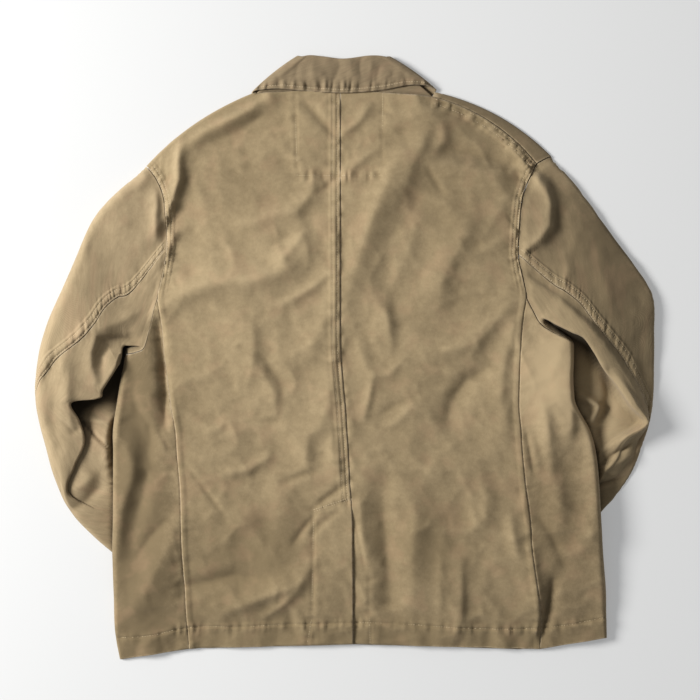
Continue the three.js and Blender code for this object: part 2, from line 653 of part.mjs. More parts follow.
// One section of a sleeve as two polylines from its outer edge to its inner edge.
function sleeveSection(side, row) {
  const vector = ([x, y]) => new THREE.Vector3(x, y, 0);
  const [outer, fold, inner] = [row.outer, row.fold, row.inner].map(vector);
  const { crest, step, low } = row;
  const edgeHalf = Math.min(crest, EDGE_DEPTH) / 2;
  const innerHalf = (low - FLOOR) / 2;
  const across = fold.clone().sub(outer);
  const inward = inner.clone().sub(fold);
  const straight = inner.clone().sub(outer);
  const [width, depth, span] = [across, inward, straight].map((way) => way.length());
  const at = (start, way, distance, z) =>
    start.clone().addScaledVector(way.clone().normalize(), distance).setZ(z);
  const under = (distance, z) => at(outer, straight, distance, z);
  const upperLow = crest - step * UPPER_SAG.at(-1).sag;

  const ledge = Math.min(LEDGE.reach, depth * LEDGE.share);
  const rim = innerHalf * INNER_ROLL.top;
  const top = [
    ...EDGE_ROLL.map(({ reach, rise }) =>
      at(outer, across, edgeHalf * reach, mix(FLOOR, crest, rise)),
    ),
    at(outer, across, Math.min(edgeHalf * CREST_REACH, width / 2), crest),
    ...UPPER_SAG.map(({ share, sag }) => at(outer, across, width * share, crest - step * sag)),
    at(fold, inward, Math.min(STEP.reach, depth * STEP.share), (low + upperLow) / 2),
    ...LOW_SHARES.map((share) => at(fold, inward, mix(ledge, depth - rim, share), low)),
    at(inner, inward, 0, (FLOOR + low) / 2),
  ];
  for (const p of top) {
    p.z = Math.max(FLOOR + 1, Math.min(p.z, sleeveCeiling(side, p.x, p.y)));
  }
  const bottom = [
    top[0],
    ...UNDER_ROLL.map(({ reach, rise }) => under(edgeHalf * reach, mix(FLOOR, crest, rise))),
    under(span / 2, FLOOR),
    under(span - innerHalf * INNER_ROLL.under, FLOOR),
    top.at(-1),
  ];
  return { top, bottom };
}

// The place at a share of a polyline's length.
function alongLine(points, share) {
  const lengths = points.slice(1).map((p, i) => p.distanceTo(points[i]));
  let left = share * lengths.reduce((a, b) => a + b, 0);
  for (let i = 0; i < lengths.length; i += 1) {
    if (left <= lengths[i] || i === lengths.length - 1) {
      return points[i].clone().lerp(points[i + 1], clamp(left / lengths[i]));
    }
    left -= lengths[i];
  }
  return points.at(-1).clone();
}

// A place round a section: 0 at the outer edge, 1 at the inner edge over the top, -1 beneath.
function roundSection(section, share) {
  if (share > 1) return alongLine(section.bottom, 2 - share);
  return share >= 0 ? alongLine(section.top, share) : alongLine(section.bottom, -share);
}

const stepTowards = (p, next) =>
  p.clone().addScaledVector(next.clone().sub(p).normalize(), ARMHOLE_GAP);

function sleeveRows(side, table, loop) {
  const over = [];
  const below = [];
  for (const row of table) {
    const section = sleeveSection(side, row);
    const girth = section.top.slice(1).reduce((sum, p, i) => sum + p.distanceTo(section.top[i]), 0);
    const off = SLEEVE_GAP / girth;
    const pick = (start, end, count) =>
      Array.from({ length: count }, (_, i) => roundSection(section, mix(start, end, i / (count - 1))));
    over.push(pick(FRONT_SLEEVE_SEAM + off, row.seam - off, loop.over.length));
    below.push(pick(row.seam + off, 2 + FRONT_SLEEVE_SEAM - off, loop.below.length));
  }
  over.unshift(loop.over.map((p, i) => stepTowards(p, over[0][i])));
  below.unshift(loop.below.map((p, i) => stepTowards(p, below[0][i])));
  return { over, below };
}

// ---- collar ----

// One section of the collar: the stand and the fall on either side of its middle surface.
function collarSection(row, side) {
  const mirror = side === "left" ? 1 : -1;
  const angle = THREE.MathUtils.degToRad(row.turn);
  const { middle, radius, spread, outX, outY } = COLLAR_TURN;
  const across = new THREE.Vector3(outX * mirror, outY, 0).multiplyScalar(Math.cos(angle));
  const out = across.clone().setZ(Math.sin(angle));
  const at = ([x, y], layer) => {
    const p = new THREE.Vector3(COLLAR_CENTRE[side] + x * mirror, NECK_Y + y, middle);
    return p.addScaledVector(out, radius + layer * spread);
  };
  const under = row.turn < 0;
  const centre = under ? frontNeck(side) : { x: BODY.at(-1).centre, y: NECK_Y };
  const seam = neckline(side, centre, under ? FRONT_NECK_DROP : 0, row.share);
  const neck = new THREE.Vector3(seam.x, seam.y, middle + out.z * (radius - spread));
  const fold = at(row.fold, -1);
  neck.addScaledVector(fold.clone().sub(neck).setZ(0).normalize(), NECK_GAP);
  const tip = at(row.fold, 0);
  const edge = at(row.edge, 1);
  const turnOver = at(row.fold, 1);
  const lean = tip.clone().sub(at(row.edge, 0)).normalize();
  return {
    stand: [neck, neck.clone().lerp(fold, 0.5), fold.clone().addScaledVector(lean, -STAND_SHORT)],
    fall: [
      edge,
      ...FALL_SHARES.map((share) => edge.clone().lerp(turnOver, share)),
      turnOver.clone().addScaledVector(lean, FALL_OVER),
      tip.clone().addScaledVector(lean, FOLD_TIP),
      fold.clone().addScaledVector(lean, FALL_TUCK),
    ],
  };
}

function collarRows() {
  const left = COLLAR.map((row) => collarSection(row, "left")).reverse();
  const right = COLLAR.slice(1).map((row) => collarSection(row, "right"));
  const sections = [...left, ...right];
  return { stand: sections.map((s) => s.stand), fall: sections.map((s) => s.fall) };
}

// ---- pockets and buttons ----

// A patch made from the points of a front, moved out from them by a number of layers.
function patchOn(front, [fromRow, toRow], layers) {
  const [fromColumn, toColumn] = POCKET.columns;
  const rows = front.slice(fromRow, toRow + 1).map((row) =>
    row.slice(fromColumn, toColumn + 1).map((p) => p.clone().setZ(p.z - layers * LAYER)),
  );
  return wallOf([rows], WALL);
}

function buttonAt(index) {
  const y = BUTTON.first - index * BUTTON.pitch;
  const disc = new THREE.CylinderGeometry(BUTTON.radius, BUTTON.radius, BUTTON.height, 24);
  disc.rotateX(Math.PI / 2);
  disc.translate(centreFront(y), y, BUTTON.height / 2);
  return disc;
}

// ---- the jacket ----

const jacket = new THREE.Group();
const sleeves = { left: SLEEVE_LEFT, right: SLEEVE_RIGHT };
for (const side of ["left", "right"]) {
  const body = bodySide(side);
  const loop = armholeLoop(body);
  const sleeve = sleeveRows(side, sleeves[side], loop);
  const backPatches = [body.back];
  const frontPatches = [body.front];
  if (side === "left") backPatches.push(turned(body.shoulder.map((row) => row.slice(0, -1))));
  else frontPatches.push(turned(body.shoulder.map((row) => row.slice(1))).reverse());
  if (side === "right") backPatches.push(besideVent(body.back).map(underlap));
  jacket.add(
    piece(`back_${side}`, wallOf(backPatches, WALL), COLOURS.back),
    piece(`side_${side}`, wallOf([body.sidePanel], WALL), COLOURS.side),
    piece(`front_${side}`, wallOf(frontPatches, WALL), COLOURS.front),
    piece(`sleeve_${side}_top`, wallOf([sleeve.over], WALL), COLOURS.sleeve),
    piece(`sleeve_${side}_under`, wallOf([sleeve.below], WALL), COLOURS.under),
  );
  const pocket = patchOn(body.front, POCKET.rows, 1);
  const flap = patchOn(body.front, FLAP_ROWS, 2);
  jacket.add(piece(`pocket_${side}`, pocket, TRIM.pocket), piece(`flap_${side}`, flap, TRIM.pocket));
}
const collar = collarRows();
jacket.add(
  piece("collar_fall", wallOf([collar.fall], COLLAR_WALL), TRIM.collar),
  piece("collar_stand", wallOf([collar.stand], WALL), TRIM.collar),
);
for (let i = 0; i < BUTTON.count; i += 1) {
  jacket.add(piece(`button_${i + 1}`, buttonAt(i), TRIM.button));
}

export default jacket;
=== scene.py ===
import bpy
import numpy as np
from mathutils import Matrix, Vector


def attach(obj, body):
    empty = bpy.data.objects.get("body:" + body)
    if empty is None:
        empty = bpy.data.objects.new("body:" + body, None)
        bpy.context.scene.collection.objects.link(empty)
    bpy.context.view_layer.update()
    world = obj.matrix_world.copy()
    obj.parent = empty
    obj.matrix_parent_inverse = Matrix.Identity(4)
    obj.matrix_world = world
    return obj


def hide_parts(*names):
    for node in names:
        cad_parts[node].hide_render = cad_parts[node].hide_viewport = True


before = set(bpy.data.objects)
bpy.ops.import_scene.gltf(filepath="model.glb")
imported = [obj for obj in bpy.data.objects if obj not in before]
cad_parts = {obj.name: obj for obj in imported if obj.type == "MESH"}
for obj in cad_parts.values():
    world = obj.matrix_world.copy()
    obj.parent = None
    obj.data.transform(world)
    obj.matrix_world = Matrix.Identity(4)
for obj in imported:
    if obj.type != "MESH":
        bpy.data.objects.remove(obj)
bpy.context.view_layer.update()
MM = 0.001  # the tables below are in millimetres, and Blender works in metres

# ---- camera: straight above the jacket, far enough off that nothing leans, with the collar at the
# top of the picture.
CAMERA_HEIGHT = 2.2
VIEW_WIDTH = 0.889
VIEW_CENTRE = (0.0063, 0.0102)

camera_data = bpy.data.cameras.new("camera")
camera_data.sensor_width = 36
camera_data.lens = 36 * CAMERA_HEIGHT / VIEW_WIDTH
camera = bpy.data.objects.new("camera", camera_data)
camera.location = (*VIEW_CENTRE, CAMERA_HEIGHT)
bpy.context.scene.collection.objects.link(camera)
bpy.context.scene.camera = camera
bpy.context.scene.view_settings.view_transform = "Standard"
bpy.context.scene.view_settings.look = "Medium High Contrast"

# ---- floor and light: a plain white surface, a wide soft light from the upper left and an even
# white room.
FLOOR_SIZE = 3.0
LIGHT_PLACE = (-2.42, 0.52, 1.66)
LIGHT_SIZE = 1.15
LIGHT_POWER = 112
ROOM_STRENGTH = 0.25


class Shade:
    """One output socket of a material's nodes, on which arithmetic adds Math nodes."""

    def __init__(self, tree, socket):
        self.tree, self.socket = tree, socket

    def node(self, kind, settings=(), sockets=(), output=0):
        """The output of a new node, with its settings made first and then its sockets filled."""
        made = self.tree.nodes.new(kind)
        for name, value in dict(settings).items():
            setattr(made, name, value)
        for name, value in dict(sockets).items():
            if isinstance(value, Shade):
                self.tree.links.new(value.socket, made.inputs[name])
            else:
                made.inputs[name].default_value = value
        return Shade(self.tree, made.outputs[output])

    def math(self, operation, *values):
        return self.node("ShaderNodeMath", {"operation": operation}, enumerate(values))

    def __add__(self, other):
        return self.math("ADD", self, other)

    def __sub__(self, other):
        return self.math("SUBTRACT", self, other)

    def __rsub__(self, other):
        return self.math("SUBTRACT", other, self)

    def __mul__(self, other):
        return self.math("MULTIPLY", self, other)

    __radd__, __rmul__ = __add__, __mul__

    def rise(self, low, high):
        """0 at low and 1 at high, eased between them."""
        sockets = {"Value": self, "From Min": low, "From Max": high}
        return self.node("ShaderNodeMapRange", {"interpolation_type": "SMOOTHSTEP"}, sockets)

    def noise(self, scale, detail=2.0, roughness=0.5):
        """Soft random values from about 0.25 to 0.75 at a place."""
        sockets = {"Vector": self, "Scale": scale, "Detail": detail, "Roughness": roughness}
        return self.node("ShaderNodeTexNoise", (), sockets)

    def blend(self, first, second):
        """Two colours mixed by this value."""
        sockets = {0: self, 6: first, 7: second}
        return self.node("ShaderNodeMix", {"data_type": "RGBA"}, sockets, output=2)


def new_material(name, values):
    """A material with only a Principled shader, some of whose sockets are set."""
    material = bpy.data.materials.new(name)
    material.use_nodes = True
    shader = material.node_tree.nodes["Principled BSDF"]
    for socket, value in values.items():
        shader.inputs[socket].default_value = value
    return material, shader


def new_object(name, places, faces, material):
    """An object in the scene with a mesh of faces over places in metres."""
    mesh = bpy.data.meshes.new(name)
    mesh.from_pydata(places, [], faces)
    mesh.materials.append(material)
    made = bpy.data.objects.new(name, mesh)
    bpy.context.scene.collection.objects.link(made)
    return made


floor_paint, _ = new_material("floor_white", {
    "Base Color": (0.505, 0.504, 0.499, 1), "Emission Color": (0.98, 0.99, 1.0, 1),
    "Emission Strength": 0.225, "Roughness": 0.85,
})
half = FLOOR_SIZE / 2
corners = [(-half, -half, 0), (half, -half, 0), (half, half, 0), (-half, half, 0)]
new_object("floor", corners, [(0, 1, 2, 3)], floor_paint)

light_data = bpy.data.lights.new("window", "AREA")
light_data.shape, light_data.size, light_data.energy = "DISK", LIGHT_SIZE, LIGHT_POWER
light_data.color = (1.0, 0.995, 0.985)
light = bpy.data.objects.new("window", light_data)
light.location = LIGHT_PLACE
light.rotation_mode = "QUATERNION"
light.rotation_quaternion = Vector(LIGHT_PLACE).to_track_quat("Z", "Y")
bpy.context.scene.collection.objects.link(light)

room = bpy.data.worlds.new("room")
room.use_nodes = True
room_sockets = room.node_tree.nodes["Background"].inputs
room_sockets["Color"].default_value = (0.97, 0.985, 1.0, 1)
room_sockets["Strength"].default_value = ROOM_STRENGTH
bpy.context.scene.world = room

# ---- back: two panels of garment-washed cotton twill, joined down the middle by a felled seam
# with two rows of stitches. Below it the left panel laps over the right one as a vent, and a patch
# inside the neck is caught down by one row of stitches.
WALL = 1.2  # one layer of twill
FLOOR_HEIGHT = WALL / 2  # middle of a layer that lies on the ground
SEAM_GAP = 0.3
OUTWARDS = {"left": -1, "right": 1}  # which way along x
# sections across the body from hem to armhole: their places up it, and the x there of its outer
# edges and its seams
BODY = {
    "y": [-362, -330, -290, -245, -200, -160, -120, -90, -60, -28, 6, 40, 75],
    "left_edge": [-285, -291, -292, -293, -292, -292, -292, -292, -288, -283, -277, -277, -277],
    "left_seam": [-197.5, -200, -202, -205, -206.5, -208, -211.5, -213.5, -219, -224, -228.5, -231,
                  -236],
    "centre": [10, 10, 10, 9.5, 9, 6, 4, 2, 0, -3, -5.5, -6, -6],
    "right_seam": [247, 247.5, 242, 236, 233, 227.5, 223.5, 221.5, 219, 219.5, 221, 223, 228.5],
    "right_edge": [331, 330, 329, 325, 322, 320, 316, 308, 291, 287, 288, 288, 288],
}
BODY_Y = np.array(BODY["y"], float)
# how far down the hem hangs along it, the height of its turned-up layer, the depth of the groove
# along its stitches, and how far in its edge is rounded
HEM = {
    "x": [-292, -243, -205, -130, -70, 0, 300, 331], "drop": [-20, -16, -7, -5, -2, 0, 1, 8],
    "rise": 1.1, "groove": 1.9, "edge": 2.4,
}
HEM_REACH = 90  # the hem's unevenness fades out over this height
HEM_DEPTH = 30  # the hem is turned up by this
HEM_STITCHES = HEM_DEPTH - 2.5
SIDE_SEAM_STEP = 0.8
NECK_Y = 342
ARMHOLE_BACK = {
    "left": [(-230, 106), (-225, 140), (-226, 180), (-229, 204), (-237, 224), (-248, 239.5)],
    "right": [(222, 108), (218, 132), (219.5, 165), (223, 200), (231, 223), (242, 246)],
}
ARMPIT_BACK = {
    "left": [(-236, 75), (-242, 52), (-247, 31), (-253, 12), (-266, 6)],
    "right": [(228.5, 75), (236, 60), (246, 43), (260, 33), (280, 23)],
}
# each shoulder: the neck corner of its seam, the ends of its rolled edge, and how far both bow out
SHOULDER = {
    "left": {"neck": (-112, 335), "rim": (-113, 336.5), "tip": (-251.5, 243), "bow": 10},
    "right": {"neck": (111, 331), "rim": (113, 336.5), "tip": (259, 255), "bow": 13},
}
SHOULDER_HEIGHT = 5.6
LEAST_GAP = 1.25  # from the middle of the back's cloth to the middle of the front's beneath it
SHOULDER_RAMP = 62  # the back rises to its full height within this of the shoulder seam

# height of the back's cloth at five places across, from hem to neck
ACROSS = np.array([-280, -150, 0, 150, 300])
HEIGHT_Y = [-380, -352, -300, -200, -80, 20, 120, 230, 300, 345]
HEIGHTS = [
    [5, 5, 6.5, 5, 5.5], [8.5, 9, 10, 9, 9.5], [17.5, 18, 18, 18, 18], [21, 19.5, 18.5, 19, 21.5],
    [21, 19, 17.5, 18.5, 22], [19, 17.5, 16.5, 17.5, 20], [16, 16, 15.5, 15.5, 15],
    [13, 13, 12.6, 13, 13], [9, 9.4, 9, 9.4, 9], [5.6, 5.6, 5.6, 5.6, 5.6],
]
RUMPLES = [(78, 2.8), (31, 1.1), (12.5, 0.4)]  # sizes and heights
CREASES = [(52, 1.3), (23, 0.5)]
FOLD_RISE = 2.5

# the folds of the body: the line along each one, how far it reaches towards the light and away
# from it, and its rise, which is negative in a trough
FOLDS = [
    ([(-211, 278), (-211, 250), (-210, 225), (-218, 198), (-229, 170)], 10, 7, 4.5),
    ([(-213, 160), (-221, 142), (-230, 124)], 6, 6, 2.5),
    ([(-226, 262), (-224, 235)], 4, 4, 1.2),
    ([(-104, 328), (-125, 312), (-150, 300), (-180, 286), (-203, 270)], 9, 14, 4),
    ([(-88, 312), (-180, 268)], 14, 17, -2.3),
    ([(-92, 278), (-62, 250), (-38, 230)], 9, 7, 1),
    ([(-128, 170), (-95, 180), (-62, 188), (-43, 206), (-40, 224)], 16, 10, 2.4),
    ([(-92, 142), (-70, 155), (-48, 165)], 7, 7, -0.9),
    ([(-80, 124), (-63, 144), (-53, 160)], 11, 8, 1.4),
    ([(-14, 176), (-12, 120), (-13, 60)], 16, 6, 1.8),
    ([(-236, 60), (-200, 84), (-160, 96), (-120, 98), (-90, 106), (-66, 118), (-52, 134)], 20, 13, 3.6),
    ([(-78, 70), (-56, 81), (-38, 92), (-23, 106)], 9, 7, 2),
    ([(-15, 30), (-17, -20), (-22, -60), (-34, -86)], 17, 12, 1.9),
    ([(-20, 64), (-30, 40), (-40, 15), (-52, -4)], 16, 11, 1.3),
    ([(-104, 2), (-93, -14), (-82, -30), (-78, -52)], 6, 7, -1.0),
    ([(-112, -8), (-101, -26), (-89, -46), (-87, -66)], 11, 6, 1.2),
    ([(-100, -79), (-78, -79)], 4, 4, -0.9),
    ([(-235, 46), (-230, 0), (-226, -42), (-228, -86)], 9, 7, -4.2),
    ([(-235, -90), (-222, -114)], 3, 3, -0.9),
    ([(-266, -112), (-268, -150), (-281, -190), (-287, -245)], 15, 9, 2.4),
    ([(-268, -40), (-264, -75), (-250, -105), (-246, -135), (-255, -170), (-266, -210),
      (-270, -250)], 16, 10, -1.8),
    ([(-284, -20), (-288, -60), (-290, -105)], 6, 7, 1.2),
    ([(-262, -62), (-247, -84), (-243, -110)], 5, 5, -1.2),
    ([(-210, -212), (-228, -248), (-246, -286), (-264, -318)], 16, 22, 3.2),
    ([(-224, -203), (-246, -226), (-260, -250)], 6, 6, -1.3),
    ([(-197, -140), (-180, -160), (-165, -182), (-149, -202)], 3, 3.5, -1.1),
    ([(-190, -84), (-150, -95), (-118, -84)], 14, 14, 1),
    ([(-150, -144), (-120, -139), (-97, -124)], 9, 6, 1.8),
    ([(-84, -148), (-82, -182), (-85, -218)], 14, 20, 1.2),
    ([(-152, -190), (-128, -200), (-110, -188)], 14, 18, 1.6),
    ([(-79, -157), (-56, -148), (-37, -142)], 5, 5, -1.4),
    ([(-12, -112), (-8, -150)], 14, 6, 1.6),
    ([(3, -158), (-18, -172), (-41, -190)], 5, 4, -2),
    ([(-38, -196), (-52, -215), (-64, -232)], 5, 4, -1.7),
    ([(-8, -192), (-30, -208), (-43, -224)], 5, 4, -1.2),
    ([(-202, -288), (-170, -281), (-140, -275), (-100, -280)], 9, 12, -2.5),
    ([(283, 24), (284, -30), (284, -86)], 42, 6, 4.4),
    ([(262, -78), (262, -110), (268, -140)], 9, 12, -1.4),
    ([(240, -98), (246, -120), (250, -140)], 6, 6, -1.0),
    ([(-152, -320), (-115, -306), (-85, -294), (-60, -286), (-47, -266)], 16, 9, 3),
    ([(-102, -326), (-80, -312), (-64, -297)], 7, 6, 1.6),
    ([(-70, -322), (-62, -350)], 6, 6, -1.4),
    ([(-118, 52), (-116, 10), (-120, -20)], 26, 8, 1.6),
    ([(-48, -100), (-50, -130)], 14, 8, 1.3),
    ([(64, 248), (51, 216), (37, 186), (29, 162), (19, 130), (8, 98)], 17, 22, 4),
    ([(108, 297), (96, 270), (86, 250), (80, 228), (71, 206)], 22, 13, 2.7),
    ([(46, 290), (70, 301), (96, 311), (128, 317)], 20, 9, 2),
    ([(124, 292), (124, 276), (114, 260)], 9, 9, 2),
    ([(124, 262), (155, 258), (190, 252), (216, 240)], 11, 14, -2),
    ([(108, 247), (150, 241), (188, 230), (201, 206), (196, 190)], 14, 14, 1.8),
    ([(205, 180), (214, 167), (220, 157)], 3, 3, -1.2),
    ([(210, 270), (222, 249), (234, 234), (246, 217), (258, 198)], 7, 7, 2.6),
    ([(161, 170), (149, 150), (133, 125), (123, 100), (118, 74)], 24, 14, 2.2),
    ([(93, 176), (82, 150), (76, 130), (69, 110)], 16, 12, 1.2),
    ([(104, 240), (112, 225), (123, 207)], 4, 4, -1),
    ([(0, 286), (18, 301), (30, 318)], 8, 6, 1.9),
    ([(-50, 322), (-32, 302), (-14, 282)], 6, 6, -1.5),
    ([(-48, 252), (-28, 245), (-14, 236)], 9, 6, 1.4),
    ([(-13, 226), (-26, 214), (-40, 206)], 5, 5, -1.2),
    ([(2, 232), (14, 246), (36, 262)], 9, 6, 1.5),
    ([(116, 7), (145, 14), (165, 22), (183, 41), (208, 70)], 20, 11, 2.7),
    ([(212, 42), (203, 10), (197, -20), (196, -52), (204, -86)], 14, 9, 1.6),
    ([(180, -12), (152, -30), (138, -48), (131, -74)], 10, 18, -2.8),
    ([(48, -69), (62, -60), (82, -51)], 6, 6, -1.0),
    ([(58, -83), (72, -72), (85, -60)], 7, 7, 1.0),
    ([(35, -24), (30, -50), (24, -74)], 8, 5, 1.6),
    ([(49, 72), (54, 42), (58, 14)], 18, 7, 2),
    ([(28, -132), (70, -139), (116, -146)], 14, 12, 1.3),
    ([(47, -162), (50, -220), (57, -305)], 14, 13, -2.6),
    ([(88, -168), (86, -230), (84, -306)], 14, 20, 2.4),
    ([(19, -182), (22, -232), (30, -264)], 7, 8, 1.5),
    ([(170, -150), (178, -176), (176, -200), (160, -216), (130, -216), (100, -208)], 13, 12, 1.5),
    ([(145, -260), (147, -300), (145, -352)], 13, 5, 1.4),
    ([(119, -240), (120, -330)], 9, 7, 0.8),
    ([(208, -204), (212, -226), (217, -248)], 8, 9, 1.8),
    ([(236, -252), (241, -290), (245, -332)], 22, 8, 2.6),
    ([(250, -68), (256, -96), (262, -128)], 14, 10, 2.6),
    ([(260, -140), (267, -170), (272, -204)], 14, 13, 2.2),
    ([(310, -106), (313, -150), (312, -224)], 16, 9, 2.6),
    ([(229, -95), (235, -130), (237, -145)], 4, 4, -1.5),
    ([(245, -200), (262, -226), (276, -262)], 6, 6, -1.3),
    ([(263, -280), (256, -310), (250, -352)], 6, 8, -3.2),
    ([(13, -206), (27, -273)], 2.5, 2.5, -0.7),
]
TO_LIGHT = (-0.94, 0.34)  # across the floor, towards the light


def ease(t):
    """0 below 0, 1 above 1, and 3t^2 - 2t^3 between them."""
    t = np.clip(t, 0, 1)
    return t * t * (3 - 2 * t)


def bell(t):
    """1 at 0, sinking to both sides: exp(-t^2)."""
    return np.exp(-(t**2))


def mix(a, b, t):
    return a + (b - a) * t


def curve(places, values, at):
    """A cubic through a table's values. Each row's slope is the slope between its neighbours."""
    places, values = np.asarray(places, float), np.asarray(values, float)
    at = np.asarray(at, float)
    slopes = np.gradient(values, places, axis=0)
    i = np.clip(np.searchsorted(places, at) - 1, 0, len(places) - 2)
    span = places[i + 1] - places[i]
    t = np.clip((at - places[i]) / span, 0, 1)
    if values.ndim > 1:
        span, t = (a.reshape(a.shape + (1,) * (values.ndim - 1)) for a in (span, t))
    first, last = values[i], values[i + 1]
    bend = t * (1 - t) * span * ((1 - t) * slopes[i] - t * slopes[i + 1])
    return mix(first, last, t * t * (3 - 2 * t)) + bend


def measured(line):
    """How far along a line of points each of them is."""
    steps = np.linalg.norm(np.diff(np.asarray(line, float), axis=0), axis=1)
    return np.concatenate([[0], np.cumsum(steps)])


def nearest(path, x, y):
    """Offset from the nearest place on a broken line, and how far along the line that place is."""
    path = np.asarray(path, float)
    start, step = path[:-1].T, np.diff(path, axis=0).T
    dx, dy = x[..., None] - start[0], y[..., None] - start[1]
    t = np.clip((dx * step[0] + dy * step[1]) / (step**2).sum(0), 0, 1)
    dx, dy = dx - t * step[0], dy - t * step[1]
    k = (dx**2 + dy**2).argmin(-1)[..., None]
    dx, dy, t = (np.take_along_axis(a, k, -1)[..., 0] for a in (dx, dy, t))
    far = measured(path)
    return dx, dy, mix(far[k[..., 0]], far[k[..., 0] + 1], t)


def away_from(path, x, y):
    """Distance from a broken line, and how far along it."""
    dx, dy, along = nearest(path, x, y)
    return np.hypot(dx, dy), along


def folds(table, x, y):
    """Sum of the folds in a table: rise * exp(-(distance / reach)^1.7), weaker to both ends. The
    reach turns smoothly from its value on the lit side to its value on the other side."""
    total = np.zeros_like(x)
    for path, lit, shaded, rise in table:
        dx, dy, along = nearest(path, x, y)
        away = np.hypot(dx, dy)
        facing = (dx * TO_LIGHT[0] + dy * TO_LIGHT[1]) / np.maximum(away, 0.01)
        reach = mix(shaded, lit, 0.5 + 0.5 * facing)
        fade = 1 - 0.45 * (2 * along / measured(path)[-1] - 1) ** 2
        total += rise * fade * np.exp(-((away / reach) ** 1.7)) * min(1, 0.35 + (lit + shaded) / 28)
    return total


def rumple(x, y, size, seed):
    """Smooth random heights from -1 to 1: random values on a square lattice, eased between."""
    lattice = np.random.default_rng(seed).uniform(-1, 1, (97, 97))
    u, v = x / size, y / size
    i, j = np.floor(u).astype(int), np.floor(v).astype(int)
    s, t = ease(u - i), ease(v - j)
    at = lambda a, b: lattice[(i + a) % 97, (j + b) % 97]
    return mix(mix(at(0, 0), at(1, 0), s), mix(at(0, 1), at(1, 1), s), t)


def creased(x, y, size, seed):
    """Random heights with sharp high lines: 0.5 - 2 |n|, where n is a rumple bent by two others."""
    bent_x = x + 0.4 * size * rumple(x, y, size * 0.8, seed + 1)
    bent_y = y + 0.4 * size * rumple(x, y, size * 0.8, seed + 2)
    return 0.5 - 2 * np.abs(rumple(bent_x + 0.5 * y, bent_y - 0.3 * x, size, seed))


def waver(along, pitch, seed):
    """A rumple along a line."""
    return rumple(along, np.full_like(along, 0.5), pitch, seed)


def hemmed(x, y):
    """Places moved down with the uneven hem, less and less above it."""
    return y + curve(HEM["x"], HEM["drop"], x) * (1 - ease((y - BODY_Y[0]) / HEM_REACH))


def bowed(line, start, end, t):
    """The line from one place to another, bowed outwards by 4t(1-t) of the shoulder's bow."""
    (ax, ay), (bx, by) = start, end
    bow = 4 * t * (1 - t) * line["bow"] / np.hypot(bx - ax, by - ay)
    return mix(ax, bx, t) + bow * abs(by - ay) * np.sign(bx), mix(ay, by, t) + bow * abs(bx - ax)


def along_body(name, y):
    """The x of one of the body's lines at some heights, the same above the last section."""
    return curve(BODY_Y, BODY[name], np.minimum(y, BODY_Y[-1]))


def shoulder_seam_at(side, share):
    line = SHOULDER[side]
    return np.column_stack(bowed(line, line["neck"], ARMHOLE_BACK[side][-1], share))


SHOULDER_SEAM = {side: shoulder_seam_at(side, np.linspace(0, 1, 15)) for side in SHOULDER}
BODY_LINE = np.arange(BODY_Y[0], BODY_Y[-1] + 1, 6.0)
SIDE_SEAM = {
    side: np.column_stack([along_body(side + "_seam", BODY_LINE), BODY_LINE]) for side in SHOULDER
}


def back_base(x, y):
    """Height of the back without its folds, from the tables across and down it, sunk to the
    shoulders' within a ramp, and how far each place is up that ramp."""
    at_y = curve(HEIGHT_Y, HEIGHTS, y)
    i = np.clip(np.searchsorted(ACROSS, x) - 1, 0, len(ACROSS) - 2)
    t = ease((x - ACROSS[i]) / (ACROSS[i + 1] - ACROSS[i]))
    low, high = (np.take_along_axis(at_y, k[..., None], -1)[..., 0] for k in (i, i + 1))
    height = mix(low, high, t)
    below = np.minimum(*(away_from(line, x, y)[0] for line in SHOULDER_SEAM.values()))
    inside = np.clip(below / SHOULDER_RAMP, 0, 1)
    return mix(SHOULDER_HEIGHT, height, inside * (2 - inside)), inside


def seam_puckers(distance, along, centre, reach, pitch, height, seed):
    """Small waves along a row of stitches: random heights along it, in a bell across it."""
    wave = 0.8 * waver(along + 0.12 * distance, pitch, seed)
    wave += 0.6 * waver(along - 0.1 * distance, pitch * 0.55, seed + 1)
    return height * wave * bell((distance - centre) / reach)


def rumples(x, y, seed):
    """Rumples of three sizes, slanted a little."""
    return sum(
        rise * rumple(x + 0.4 * y, y - 0.3 * x, size, seed + k)
        for k, (size, rise) in enumerate(RUMPLES)
    )


def rounded(inside, reach, drop):
    """How far cloth sinks towards an edge: drop (1 - sqrt(1 - t^2)), t from 0 at the reach to 1."""
    return drop * (1 - np.sqrt(1 - np.clip(1 - inside / reach, 0, 1) ** 2))


